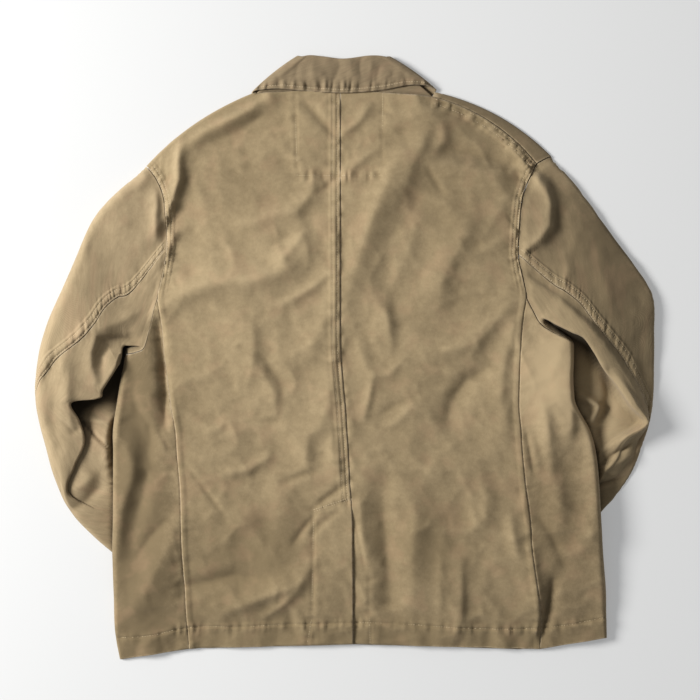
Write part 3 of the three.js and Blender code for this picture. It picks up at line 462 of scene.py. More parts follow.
def back_height(x, y):
    """Height of the back's cloth: the base, the folds, random rumples, and what the seams do."""
    height, inside = back_base(x, y)
    loose = ease(inside * 3)
    height += loose * rumples(x, y, seed=11)
    for k, (size, rise) in enumerate(CREASES):
        height += loose * rise * creased(x, y, size, seed=21 + 3 * k)
    height += FOLD_RISE * folds(FOLDS, x, y) * (0.35 + 0.65 * loose)
    # the turned-up hem stands up, grooved along its stitches, and its edge is rounded
    up = y - hemmed(x, np.full_like(x, BODY_Y[0]))
    height += HEM["rise"] * (1 - ease((up - HEM_DEPTH + 1) / 2))
    height -= HEM["groove"] * bell((up - HEM_STITCHES) / 1.4)
    height += seam_puckers(up, x, centre=HEM_DEPTH - 4, reach=7, pitch=5, height=1.5, seed=31)
    height += seam_puckers(up, x, centre=8, reach=13, pitch=22, height=2.2, seed=35)
    height -= rounded(up, HEM["edge"], 1.5)
    # the side-back seams are grooved, pucker a little and stand up on the back's side
    for k, side in enumerate(SIDE_SEAM):
        dx, dy, along = nearest(SIDE_SEAM[side], x, y)
        away, inside = np.hypot(dx, dy), -OUTWARDS[side] * dx
        height += seam_puckers(
            away, along, centre=4, reach=9, pitch=9, height=1.1, seed=41 + 3 * k
        )
        height += SIDE_SEAM_STEP * (ease(inside / 1.2) * (1 - ease((inside - 4) / 5)) - bell(away))
    return height


def graded(end, spacing):
    """Places from 0 to end whose steps follow a table of (place, step)."""
    starts, steps = np.array(spacing, float).T
    places = [0.0]
    while places[-1] < end:
        places.append(places[-1] + np.interp(places[-1], starts, steps))
    return np.array(places) * end / places[-1]


def both_ways(end, spacing):
    """The same spacing from both ends."""
    half_way = graded(end / 2, spacing)
    return np.concatenate([half_way, end - half_way[-2::-1]])


PANEL_WIDTH = 225
PANEL_EDGE = 15  # the columns keep their distance from a seam within this of it
PANEL_COLUMNS = both_ways(PANEL_WIDTH, [(0, 0.6), (3, 1.1), (13, 1.9), (22, 2.7)])
PANEL_ROWS = graded(BODY_Y[-1] - BODY_Y[0], [(0, 0.5), (3, 1.4), (24, 1.4), (36, 2.2), (60, 2.7)])
LAST_SECTION = len(BODY_Y) - 1
PANEL_LINES = np.concatenate([  # as counts of sections, and then of the armhole's points
    np.interp(PANEL_ROWS + BODY_Y[0], BODY_Y, np.arange(len(BODY_Y))),
    LAST_SECTION + np.linspace(0, 6, 101)[1:],
])


def neckline(side, centre, drop, share):
    """From the centre of the neck to a shoulder's corner, hollowed by 4s(1-s) of the drop."""
    x, y = SHOULDER[side]["neck"]
    return mix(centre[0], x, share), mix(centre[1], y, share) - 4 * share * (1 - share) * drop


def panel_places(side, inner, outer, armhole, neck, drop, columns, lines):
    """Places of a front or a back. Each line runs from the centre edge to the side seam or the
    armhole, and above the side seam it bends to end on the neckline and the shoulder seam."""
    climb = len(armhole)
    up = np.linspace(0, 1, climb + 1)[1:]
    neck = np.array(neck, float)
    rising = mix(inner[-1], neck, up[:, None])
    index = np.arange(len(inner) + climb)
    first = curve(index, np.vstack([inner, rising]), lines)[:, None]
    last = curve(index, np.vstack([outer, armhole]), lines)[:, None]
    width = np.hypot(*(last - first)[..., 0:2].transpose(2, 0, 1))
    kept = np.clip((columns - PANEL_EDGE) / (columns[-1] - 2 * PANEL_EDGE), 0, 1)
    u = ((columns + kept * (width - columns[-1])) / width)[..., None]
    neck_part = np.stack(neckline(side, neck, drop, np.clip(2 * u[..., 0], 0, 1)), -1)
    line, share = SHOULDER[side], np.clip(2 * u[..., 0] - 1, 0, 1)
    shoulder_part = np.stack(bowed(line, line["neck"], armhole[-1], share), -1)
    top = np.where(u < 0.5, neck_part, shoulder_part)
    chord = mix(neck, np.array(armhole[-1], float), u)
    bend = np.clip((lines - (len(inner) - 1)) / climb, 0, 1)[:, None, None]
    return mix(first, last, u) + bend * (top - chord)


def seam_places(name, shift):
    """The places of a body seam, section by section, held to one side by half the seam gap."""
    x = np.array(BODY[name], float) + shift * SEAM_GAP / 2
    return np.column_stack([x, hemmed(x, BODY_Y)])


CENTRE_ROWS = (4.0, 10.0)  # rows of stitches beside the centre-back seam
CENTRE_BAND = 12.0  # the width of its felled allowance
VENT = {"top": -182, "lap": 46, "dip": 2.1, "reach": 34, "facing": 0.8}
VENT_BAR = [(6.4, -178), (-39.4, -193.5)]  # the slanted bar that holds the top of the vent
VENT_FACING = [(-39.4, -195.6), (-42, -328), (-47.5, -361)]
VENT_TURNING = [(30.5, -262), (30.5, -319), (32, -361)]
NECK_PATCH = [(-64, 336), (-60, 231), (47, 230), (48, 338)]
ARMHOLE_ROWS, ARMHOLE_BAND = (2.0, 7.0), 8.5
SHOULDER_ROWS, SHOULDER_BAND = (3.0, 9.0), 11
ALLOWANCE_RISE = 1.4  # a felled seam's allowance stands up by this
ROW_GROOVE, SEAM_GROOVE = 1.1, 0.8  # depths along a row of stitches and along the seam itself


def stitched_line(path, x, y, seed, height=1.0, pitch=8):
    """What one row of stitches does: a narrow groove with small waves on both sides of it."""
    away, along = away_from(path, x, y)
    waves = seam_puckers(away, along, 1.5, 5.5, pitch, height, seed)
    return waves - bell(away / 1.4)


def stitched_band(away, along, rows, width, seed, height, pitch):
    """A felled seam: the allowance stands up beside it, with grooves along its rows of stitches
    and waves across it."""
    raised = ALLOWANCE_RISE * (1 - ease((away - width) / 2.2))
    for row in rows:
        raised -= ROW_GROOVE * bell((away - row) / 1.1)
    raised -= SEAM_GROOVE * bell(away / 0.9)
    waves = seam_puckers(away, along, width / 2, width * 0.8, pitch, height, seed)
    return raised + waves * ease(away / 4)


def back_seams(side, x, y):
    """What the seams and stitches of a back panel add to its height."""
    centre = along_body("centre", y)
    beside = np.abs(x - centre)
    above_vent = ease((y - VENT["top"] + 4) / 6)
    vent = 1 - above_vent
    if side == "left":
        band = 0.75 * stitched_band(
            beside, y, CENTRE_ROWS, CENTRE_BAND, seed=51, height=2.0, pitch=6.5
        )
        added = band * above_vent
        added += vent * VENT["facing"] * (1 - ease((beside - VENT["lap"]) / 2))
        added += vent * stitched_line(VENT_FACING, x, y, seed=55)
        added -= vent * VENT["facing"] * (1 - ease(beside / 1.4)) ** 2
        added += stitched_line(VENT_BAR, x, y, seed=57, height=1.8)
    else:
        added = -0.4 * above_vent * bell(beside / 2.2)
        waves = seam_puckers(beside, y, centre=5, reach=5, pitch=8, height=0.8, seed=59)
        added += above_vent * waves * ease(beside / 4)
        added += vent * stitched_line(VENT_TURNING, x, y, seed=61)
        below = ease((VENT["top"] + 2 - y) / 30)
        added -= below * VENT["dip"] * (1 - ease((x - centre) / VENT["reach"]))
    at_foot = ease((238 - y) / 4)
    added += stitched_line(NECK_PATCH, x, y, seed=63, height=1.2 + 1.4 * at_foot, pitch=6)
    return added


def panel_height(side, x, y):
    """Height of a back panel: the back's, with its own seams, the double-stitched allowance beside
    the armhole and, on the right, the puckered double-stitched shoulder seam."""
    armhole = away_from(ARMPIT_BACK[side][::-1] + ARMHOLE_BACK[side], x, y)
    z = back_height(x, y) + back_seams(side, x, y)
    z += ease((y - 60) / 60) * stitched_band(
        *armhole, ARMHOLE_ROWS, ARMHOLE_BAND, seed=65, height=1.9, pitch=6
    )
    if side == "right":
        shoulder = away_from(SHOULDER_SEAM["right"], x, y)
        z += stitched_band(
            *shoulder, SHOULDER_ROWS, SHOULDER_BAND, seed=67, height=3.4, pitch=3.4
        )
    return np.maximum(z, front_height(x, y) + LEAST_GAP)


def on_back(side, places):
    x, y = places[..., 0], places[..., 1]
    return np.stack([x, y, panel_height(side, x, y)], -1)


def lengths(points, axis):
    """Distance along a grid's rows or columns from its first one."""
    step = np.linalg.norm(np.diff(points, axis=axis), axis=-1)
    return np.concatenate([np.zeros_like(np.take(step, [0], axis)), step.cumsum(axis)], axis)


# painted shade in soft patches, and painted light where the last value is negative: the middle of
# each soft patch, its reach across and down, and how much
PAINTED_LIGHT_AND_SHADE = [
    (-150, -270, 120, 90, 0.7), (95, -245, 75, 55, 0.55), (0, -358, 330, 26, 0.45),
    (-246, -50, 34, 110, 0.35), (265, -210, 40, 130, 0.6), (335, 120, 60, 100, 1.0),
    (120, 200, 100, 70, 0.2), (150, -360, 150, 40, 0.25), (-130, 110, 120, 90, -0.35),
    (258, -20, 42, 70, -1.6), (-40, -60, 50, 80, -0.2), (0, -240, 40, 60, -0.2),
    (-250, -330, 50, 40, 0.3), (60, 290, 70, 30, 0.15), (-90, -250, 60, 50, 0.1),
    (-150, 210, 110, 90, 0.12), (-262, -190, 34, 190, 1.05), (335, -60, 60, 60, -0.9),
]


def painted_light_and_shade(x, y):
    """Sum of the painted shade and light patches: amount * exp(-(dx / reach)^2 - (dy / reach)^2)."""
    return sum(
        amount * bell((x - middle_x) / reach_x) * bell((y - middle_y) / reach_y)
        for middle_x, middle_y, reach_x, reach_y, amount in PAINTED_LIGHT_AND_SHADE
    )


def unit(ways):
    return ways / np.maximum(np.linalg.norm(ways, axis=-1, keepdims=True), 1e-9)


def facing(points):
    """The unit normals of a grid of points, along (next column) x (next row)."""
    return unit(np.cross(np.gradient(points, axis=1), np.gradient(points, axis=0)))


def crests(points):
    """How far each point stands out from the mean of those three away, along the cloth's face."""
    padded = np.pad(points, ((3, 3), (3, 3), (0, 0)), mode="reflect", reflect_type="odd")
    around = padded[6:, 3:-3] + padded[:-6, 3:-3] + padded[3:-3, 6:] + padded[3:-3, :-6]
    return ((points - around / 4) * facing(points)).sum(-1)


def write_attribute(piece, title, values):
    layer = piece.data.attributes.new(title, "FLOAT", "POINT")
    layer.data.foreach_set("value", values.astype(np.float32))


def cloth(name, patches, material, wall=WALL):
    """One cut piece of cloth: a mesh over grids of points (rows by columns by x, y, z) whose
    equal points are joined, thickened by a Solidify modifier. It carries a UV map in metres along
    and across the grid, the distance to the piece's nearest edge and how far each point stands
    out. A patch is (points, turned over, its edges that are joined to another patch)."""
    faces, columns_of, count = [], [], 0
    for points, over, joined in patches:
        across, along = lengths(points, 1), lengths(points, 0)
        from_side = {
            "first_column": across, "last_column": across[:, -1:] - across,
            "first_row": along, "last_row": along[-1:] - along,
        }
        edge = np.minimum.reduce([from_side[side] for side in from_side if side not in joined])
        index = count + np.arange(edge.size).reshape(edge.shape)
        quads = np.stack([index[:-1, :-1], index[:-1, 1:], index[1:, 1:], index[1:, :-1]], -1)
        faces.append(quads.reshape(-1, 4)[:, ::-1] if over else quads.reshape(-1, 4))
        out = crests(points) * (-1 if over else 1)
        columns_of.append(np.dstack([points, across, along, edge, out]).reshape(-1, 7))
        count += edge.size
    faces, columns_of = np.concatenate(faces), np.concatenate(columns_of)
    places, uvs, (edge, out) = columns_of[:, :3], columns_of[:, 3:5], columns_of[:, 5:].T
    _, first, same = np.unique(np.round(places, 2), axis=0, return_index=True, return_inverse=True)
    joined_faces = same.reshape(-1)[faces]
    whole = (joined_faces != np.roll(joined_faces, 1, axis=1)).all(1)
    piece = new_object(name, places[first] * MM, joined_faces[whole].tolist(), material)
    uv_map = piece.data.uv_layers.new(name="cloth")
    uv_map.uv.foreach_set("vector", (uvs[faces[whole]] * MM).ravel())
    piece.data.shade_smooth()
    # each point also carries the painted shade and light of the soft patches
    for title, values in (("edge", edge), ("crest", out), ("painted_light_and_shade", painted_light_and_shade(*places.T[:2]))):
        write_attribute(piece, title, values[first])
    thicken = piece.modifiers.new("wall", "SOLIDIFY")
    thicken.thickness, thicken.offset = wall * MM, 0
    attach(piece, "root")
    return piece


def times(factor, colour):
    return (*(factor * np.array(colour)), 1)


def twill(name, pale, deep, worn):
    """Garment-washed cotton twill: fine diagonal ridges, slubs along the warp, soft mottling in
    patches of a few sizes, paler along worn edges, paler on crests and deeper in creases as partly
    wear and partly painted light and shade, with painted shade and light in soft patches and
    painted shade deep in hollows."""
    matt = {"Roughness": 0.92, "Sheen Weight": 0.12, "Sheen Roughness": 0.6,
            "Specular IOR Level": 0.25}
    material, shader = new_material(name, matt)
    nodes = Shade(material.node_tree, None)
    edge, crest, painted_light_and_shade, hollow_shade = (
        nodes.node("ShaderNodeAttribute", {"attribute_name": title}, output=2)
        for title in ("edge", "crest", "painted_light_and_shade", "hollow_shade")
    )
    place = nodes.node("ShaderNodeUVMap", {"uv_map": "cloth"})
    slub_place = place.node("ShaderNodeMapping", (), {"Vector": place, "Scale": (1500, 260, 1)})
    slubs = slub_place.noise(1.0, 2)
    patches = place.noise(11, 3)
    mottle = place.noise(110, 5, 0.75)
    split = ("ShaderNodeSeparateXYZ", (), {0: place})
    across, along = place.node(*split, output=0), place.node(*split, output=1)
    diagonal = (across * 0.78 + along * 0.62) * 8600
    ridges = nodes.math("SINE", diagonal)
    # paler on crests, partly wear and partly painted light, and deeper in creases as painted shade
    tone = patches * 0.5 + mottle * 0.85 + slubs * 0.3 + ridges * 0.025 + crest * 0.14 - 0.325
    # painted shade, and painted light where negative, from the soft patches
    tone = tone - painted_light_and_shade * 0.6
    colour = tone.rise(-0.1, 1.25).blend(times(0.85, deep), times(1.17, pale))
    warm = place.noise(26, 3).rise(0.5, 0.66) * 0.2
    colour = warm.blend(colour, times((1.09, 0.93, 0.95), pale))
    wear = (1 - edge.rise(0.5, 2.2)) * mottle.rise(0.38, 0.56) * 0.55
    colour = wear.blend(colour, times(1, worn))
    # painted shade: the twill darkened nearly to black deep in hollows under the folds
    colour = (hollow_shade * 0.93).blend(colour, times(0.12, deep))
    relief = ridges * 0.16 + slubs * 0.5 + mottle * 0.9
    bump = nodes.node("ShaderNodeBump", (), {"Strength": 0.45, "Distance": 0.0006, "Height": relief})
    nodes.tree.links.new(colour.socket, shader.inputs["Base Color"])
    nodes.tree.links.new(bump.socket, shader.inputs["Normal"])
    return material


STITCH = {"pitch": 3.3, "half": 1.25, "width": 0.42, "height": 0.36}
THREAD, _ = new_material("thread", {"Base Color": (0.56, 0.46, 0.31, 1), "Roughness": 0.8})


def lying_on(height, path):
    """A row of stitches as points along a path on a cloth of known height, and its normals."""
    path, far = np.asarray(path, float), measured(path)
    x, y = (np.interp(np.arange(0, far[-1], 1.0), far, axis) for axis in path.T)
    slope_x = height(x + 0.5, y) - height(x - 0.5, y)
    slope_y = height(x, y + 0.5) - height(x, y - 0.5)
    normal = np.column_stack([-slope_x, -slope_y, np.ones_like(x)])
    return np.column_stack([x, y, height(x, y)]), unit(normal)


def tubes(name, points, material):
    """A piece made of tubes: points by tube, by ring along it, and round the ring."""
    index = np.arange(points.size // 3).reshape(points.shape[:3])
    turned = np.roll(index, -1, axis=2)
    quads = np.stack([index[:, :-1], turned[:, :-1], turned[:, 1:], index[:, 1:]], -1)
    piece = new_object(name, points.reshape(-1, 3) * MM, quads.reshape(-1, 4).tolist(), material)
    piece.data.shade_smooth()
    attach(piece, "root")
    return piece


def sewn(name, rows, wall=WALL):
    """Rows of stitches as one mesh: beads of thread, each bent down into the cloth at its ends.
    A row is points on the middle of the cloth and the cloth's normals there."""
    ring = np.arange(6) / 6 * 2 * np.pi
    s = np.array([-1, -0.55, 0, 0.55, 1])
    beads = []
    for points, normals in rows:
        far = measured(points)
        at = np.arange(STITCH["pitch"] / 2, far[-1], STITCH["pitch"])
        pick = lambda values, place: np.column_stack([np.interp(place, far, v) for v in values.T])
        middle, up = pick(points, at), pick(normals, at)
        along = unit(pick(points, at + 0.8) - pick(points, at - 0.8))
        side = np.cross(up, along)
        round_half = np.sqrt(1 - 0.85 * s**2)
        across = STITCH["width"] * round_half[:, None] * np.cos(ring)
        raised = STITCH["height"] * round_half[:, None] * np.sin(ring) + (0.16 - 0.5 * s**2)[:, None]
        raised += wall / 2
        bead = middle[:, None, None] + along[:, None, None] * (STITCH["half"] * s)[:, None, None]
        bead = bead + side[:, None, None] * across[..., None] + up[:, None, None] * raised[..., None]
        beads.append(bead)
    return tubes(name, np.concatenate(beads), THREAD)


BACK_CLOTH = twill("twill_back", (0.39, 0.303, 0.185), (0.285, 0.218, 0.124), (0.50, 0.405, 0.28))


def back_panel(side):
    """The rows of a back panel, from the hem up to the neck and the shoulder seam."""
    sign = OUTWARDS[side]
    inner, outer = seam_places("centre", sign), seam_places(side + "_seam", -sign)
    neck = (inner[-1][0], NECK_Y)
    lines = PANEL_COLUMNS, PANEL_LINES
    return on_back(side, panel_places(side, inner, outer, ARMHOLE_BACK[side], neck, 0, *lines))


def declare(node, rests_on=()):
    """Hides the solid that a finished piece of cloth replaces. Its argument rests_on, what lies
    beneath the piece, is not used."""
    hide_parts(node)


# heights of what lies beneath the fronts: boxes as x, x, y, y with the lift and the ramp round it
LAYER = WALL + SEAM_GAP
LIFTS = [
    (-122, 122, 240, 350, 2.8, 24),
    (-15, 31, -400, 300, 2.8, 22),
    (-176, -26, -336, -154, 2 * LAYER, 22),
    (48, 196, -336, -154, 2 * LAYER, 22),
]
FOREARMS = [
    [(-356, 89), (-292, -18), (-260, -62), (-220, -118), (-180, -163), (-275, -262), (-350, -190),
     (-378, -112), (-390, -32)],
    [(380, 98), (299, -8), (297, -48), (262, -98), (228, -124), (196, -152), (277, -248),
     (345, -176), (376, -112), (391, -28)],
]
FOREARM_LIFT = {"lift": 6.6, "margin": 22, "ramp": 30}


def outside(corners, x, y):
    """Distance to a closed outline, and 0 inside it, where a line to the right crosses it oddly."""
    loop = np.array(corners + corners[:1], float)
    (ax, ay), (bx, by) = loop[:-1].T, loop[1:].T
    spans = (ay > y[..., None]) != (by > y[..., None])
    with np.errstate(divide="ignore", invalid="ignore"):
        meets = ax + (y[..., None] - ay) * (bx - ax) / (by - ay)
    inside = (spans & (x[..., None] < meets)).sum(-1) % 2
    return away_from(loop, x, y)[0] * (1 - inside)


def front_height(x, y):
    """Height of the fronts' cloth, which lies on the ground or on what is beneath it."""
    lift = np.zeros_like(x)
    for x0, x1, y0, y1, rise, ramp in LIFTS:
        past_x = np.maximum(0, np.maximum(x0 - x, x - x1))
        past_y = np.maximum(0, np.maximum(y0 - y, y - y1))
        lift = np.maximum(lift, rise * (1 - ease(np.hypot(past_x, past_y) / ramp)))
    for corners in FOREARMS:
        past = outside(corners, x, y) - FOREARM_LIFT["margin"]
        lift = np.maximum(lift, FOREARM_LIFT["lift"] * (1 - ease(past / FOREARM_LIFT["ramp"])))
    return FLOOR_HEIGHT + lift


def rolled(upper, lower, rim, turns):
    """Rows of points that roll from one row of points to the one beneath it by way of a rim:
    middle + arm cos(a) + out sin(a)."""
    middle, arm = (upper + lower) / 2, (upper - lower) / 2
    angle = np.asarray(turns)[:, None, None] * np.pi
    return middle + arm * np.cos(angle) + (rim - middle) * np.sin(angle)


def shoulder_roll(side, upper, lower, turns):
    """The roll over a shoulder from the back's last row to the front's."""
    line = SHOULDER[side]
    share = np.clip((upper[:, 0] - upper[0, 0]) / (upper[-1, 0] - upper[0, 0]), 0, 1)
    x, y = bowed(line, line["rim"], line["tip"], share)
    return rolled(upper, lower, np.column_stack([x, y, (upper[:, 2] + lower[:, 2]) / 2]), turns)


def outer_half(side, row):
    """The points of a panel's last row that lie between the neck corner and the armhole."""
    return row[np.abs(row[:, 0]) >= abs(SHOULDER[side]["neck"][0]) - 0.01]


backs = {side: back_panel(side) for side in SHOULDER}

# the left shoulder rolls over and is sewn to the front beneath
over = outer_half("left", backs["left"][-1])
under = over.copy()
under[:, 2] = front_height(over[:, 0], over[:, 1])
left_roll = shoulder_roll("left", over, under, np.linspace(0, 0.9, 9))
back_left = cloth(
    "back_cloth_left",
    [(backs["left"], True, ("last_row",)), (left_roll, True, ("first_row",))],
    BACK_CLOTH,
)

# below the vent's top the right panel runs on beneath the left one
vent_rows = backs["right"][backs["right"][:, 0, 1] < VENT["top"] - 2]
lap = np.linspace(-VENT["lap"], 0, 16)[:, None]
lapped = np.repeat(vent_rows[:, :1], len(lap), axis=1)
lapped[..., 0] += lap[:, 0]
lapped = on_back("right", lapped)
lapped[:, -1] = vent_rows[:, 0]
back_right = cloth(
    "back_cloth_right",
    [(backs["right"], False, ()), (lapped, False, ("last_column", "last_row"))],
    BACK_CLOTH,
)


def beside(path, distance):
    """A line at a distance to the left of a path, as seen along it."""
    path = np.asarray(path, float)
    way = np.gradient(path, axis=0)
    way /= np.hypot(*way.T)[:, None]
    return path + distance * np.column_stack([-way[:, 1], way[:, 0]])


def hem_line(x0, x1):
    """The row of stitches that holds the hem, across part of it."""
    x = np.linspace(x0, x1, 40)
    return np.column_stack([x, hemmed(x, np.full_like(x, BODY_Y[0])) + HEM_STITCHES])


centre_y = np.linspace(VENT["top"] + 3, 336, 60)
centre_seam = np.column_stack([along_body("centre", centre_y), centre_y])
left_rows = [beside(centre_seam, row) for row in CENTRE_ROWS]
left_rows += [VENT_BAR, beside(VENT_BAR, -2.4), VENT_FACING]
left_rows += [[*NECK_PATCH[:2], (-14, NECK_PATCH[1][1])], hem_line(-196, 8)]
left_rows += [beside(ARMHOLE_BACK["left"], -row) for row in ARMHOLE_ROWS]
right_rows = [VENT_TURNING, [(-4, NECK_PATCH[2][1]), *NECK_PATCH[2:]], hem_line(12, 245)]
right_rows += [beside(ARMHOLE_BACK["right"], row) for row in ARMHOLE_ROWS]
right_rows += [beside(SHOULDER_SEAM["right"], -row) for row in SHOULDER_ROWS]
for side, panel, rows in (("left", back_left, left_rows), ("right", back_right, right_rows)):
    height = lambda x, y: panel_height(side, x, y)
    stitches = sewn("stitches_back_" + side, [lying_on(height, row) for row in rows])
    declare("back_" + side, ["front_cloth_" + side])

# ---- side panels: one piece of twill on each side, sewn to the back by a plain pressed seam, that
# rolls over the edge of the jacket and runs on underneath to the front.
ARMPIT_FROM = 8  # the section from which the side panels bend up into the armholes
ARMPIT_FRONT = {
    "left": [(-270, 6), (-251, 14), (-236, 28), (-223, 45), (-214, 64)],
    "right": [(280, 23), (262, 28), (246, 38), (232, 51), (220, 66)],
}
ARMPIT = {"left": (-277, 4), "right": (288, 18)}
FRONT_SEAM = {"left": -203, "right": 222, "bend_from": -60}
SIDE_COLUMNS = graded(1, [(0, 0.008), (0.25, 0.032), (1, 0.045)])
SIDE_ROLL = np.linspace(0, 1, 15)
SIDE_UNDER = np.linspace(0, 1, 13)


def lowered(top, y):
    """Heights along the underside, pressed together above the armpit to end at a lower one."""
    turn = BODY_Y[ARMPIT_FROM]
    return np.where(y <= turn, y, mix(turn, top, (y - turn) / (BODY_Y[-1] - turn)))


def front_seam(side, shift):
    end_x, end_y = ARMPIT_FRONT[side][-1]
    y = lowered(end_y, BODY_Y)
    bend = (y - FRONT_SEAM["bend_from"]) / (end_y - FRONT_SEAM["bend_from"])
    x = mix(FRONT_SEAM[side], end_x, ease(bend)) + shift * SEAM_GAP / 2
    return np.column_stack([x, hemmed(x, y)])


def strip_places(first, last, top, columns, lines):
    """Places between two lines that bend from one section up to end on a row of places."""
    index = np.arange(len(first))
    a, b = (curve(index, line, lines)[:, None] for line in (first, last))
    u = columns[None, :, None]
    end = curve(np.linspace(0, 1, len(top)), top, columns)
    chord = mix(end[:1], end[-1:], columns[:, None])
    bend = np.clip((lines - ARMPIT_FROM) / (LAST_SECTION - ARMPIT_FROM), 0, 1)[:, None, None]
    return mix(a, b, u) + bend * (end - chord)


def side_panel(side):
    """A side panel: from the side-back seam over the edge to the side-front seam."""
    sign = OUTWARDS[side]
    lines = PANEL_LINES[PANEL_LINES <= LAST_SECTION]
    y = lowered(ARMPIT[side][1], BODY_Y)
    edge_x = along_body(side + "_edge", y)
    edge = np.column_stack([edge_x, hemmed(edge_x, y)])
    tangent = edge.copy()
    radius = (back_base(*edge.T)[0] - front_height(*edge.T)) / 2
    tangent[:, 0] -= sign * radius
    tangent[-1] = ARMPIT_BACK[side][-1]
    seam = seam_places(side + "_seam", sign)
    outer = strip_places(seam, tangent, ARMPIT_BACK[side], SIDE_COLUMNS, lines)
    inner = strip_places(tangent, front_seam(side, sign), ARMPIT_FRONT[side], SIDE_UNDER, lines)
    upper = np.dstack([outer, back_height(outer[..., 0], outer[..., 1])])
    lower = np.dstack([inner, front_height(inner[..., 0], inner[..., 1])])
    rim = curve(np.arange(len(edge)), edge, lines)
    rim = np.column_stack([rim, (upper[:, -1, 2] + lower[:, 0, 2]) / 2])
    roll = rolled(upper[:, -1], lower[:, 0], rim, SIDE_ROLL[1:-1]).transpose(1, 0, 2)
    return np.concatenate([upper, roll, lower], axis=1)


# the side panels' twill has a paler top and a deeper bottom to its range than the back's: painted light
# and painted shade on panels that tilt towards the light and roll away from it
SIDE_CLOTH_LIT_AND_SHADED = twill("twill_side_lit_and_shaded", (0.4, 0.31, 0.19), (0.25, 0.19, 0.108), (0.47, 0.38, 0.26))
sides = {side: side_panel(side) for side in SHOULDER}
for side, hem_ends in (("left", (-285, -199.5)), ("right", (249, 326))):
    panel = cloth("side_cloth_" + side, [(sides[side], side == "left", ())], SIDE_CLOTH_LIT_AND_SHADED)
    stitches = sewn("stitches_side_" + side, [lying_on(back_height, hem_line(*hem_ends))])
    declare("side_" + side, ["front_cloth_" + side])

# ---- fronts: two plain panels that lie on the ground, the right one lapped over the left one and
# rolled up over its shoulder to a double-stitched seam with the back.
FRONT_NECK = (-3, 296)
FRONT_NECK_DROP = 10
FRONT_LAP = 15  # each front passes the centre front by this
FRONT_TOP = 64  # the side-front seams meet the armholes here
LAP_LIFT = {"rise": 1.8, "past": 4, "ramp": 22}
ARMHOLE_FRONT = {
    "left": [(-208, 95), (-205, 130), (-208, 168), (-217, 202), (-232, 227), (-248, 239.5)],
    "right": [(213, 96), (210, 131), (213, 170), (224, 206), (238, 232), (256, 251)],
}
FRONT_COLUMNS = both_ways(PANEL_WIDTH, [(0, 1.2), (6, 4), (20, 5.5)])
FRONT_LINES = np.concatenate([np.linspace(0, 12, 85), np.linspace(12, 18, 42)[1:]])


def centre_front(y):
    return along_body("centre", y) + 2


def front_panel(side):
    sign = OUTWARDS[side]
    y = lowered(FRONT_TOP, BODY_Y)
    x = centre_front(y) - sign * FRONT_LAP
    inner = np.column_stack([x, hemmed(x, y)])
    neck = (FRONT_NECK[0] - sign * FRONT_LAP, FRONT_NECK[1])
    edges = inner, front_seam(side, -sign), ARMHOLE_FRONT[side], neck, FRONT_NECK_DROP
    places = panel_places(side, *edges, FRONT_COLUMNS, FRONT_LINES)
    x, y = places[..., 0], places[..., 1]
    z = front_height(x, y)
    if side == "right":
        past = centre_front(y) + FRONT_LAP + LAP_LIFT["past"] - x
        z += LAP_LIFT["rise"] * ease(1 + past / LAP_LIFT["ramp"])
    return np.dstack([places, z])


# the fronts' twill is darker than the back's: painted shade on the shoulder strip that rolls away from
# the light
SHADED_FRONT_CLOTH = twill("twill_front_shaded", (0.27, 0.208, 0.128), (0.19, 0.145, 0.085), (0.42, 0.335, 0.22))
fronts = {side: front_panel(side) for side in SHOULDER}
front_left = cloth("front_cloth_left", [(fronts["left"], False, ())], SHADED_FRONT_CLOTH)

under = outer_half("right", fronts["right"][-1])
share = (under[:, 0] - under[0, 0]) / (under[-1, 0] - under[0, 0])
over = on_back("right", shoulder_seam_at("right", share))
right_roll = shoulder_roll("right", over, under, np.linspace(0.02, 1, 15))
front_right = cloth(
    "front_cloth_right",
    [(fronts["right"], True, ("last_row",)), (right_roll[::-1], True, ("first_row",))],
    SHADED_FRONT_CLOTH,
)
for side, panel in (("left", front_left), ("right", front_right)):
    declare("front_" + side, ["pocket_cloth_" + side])

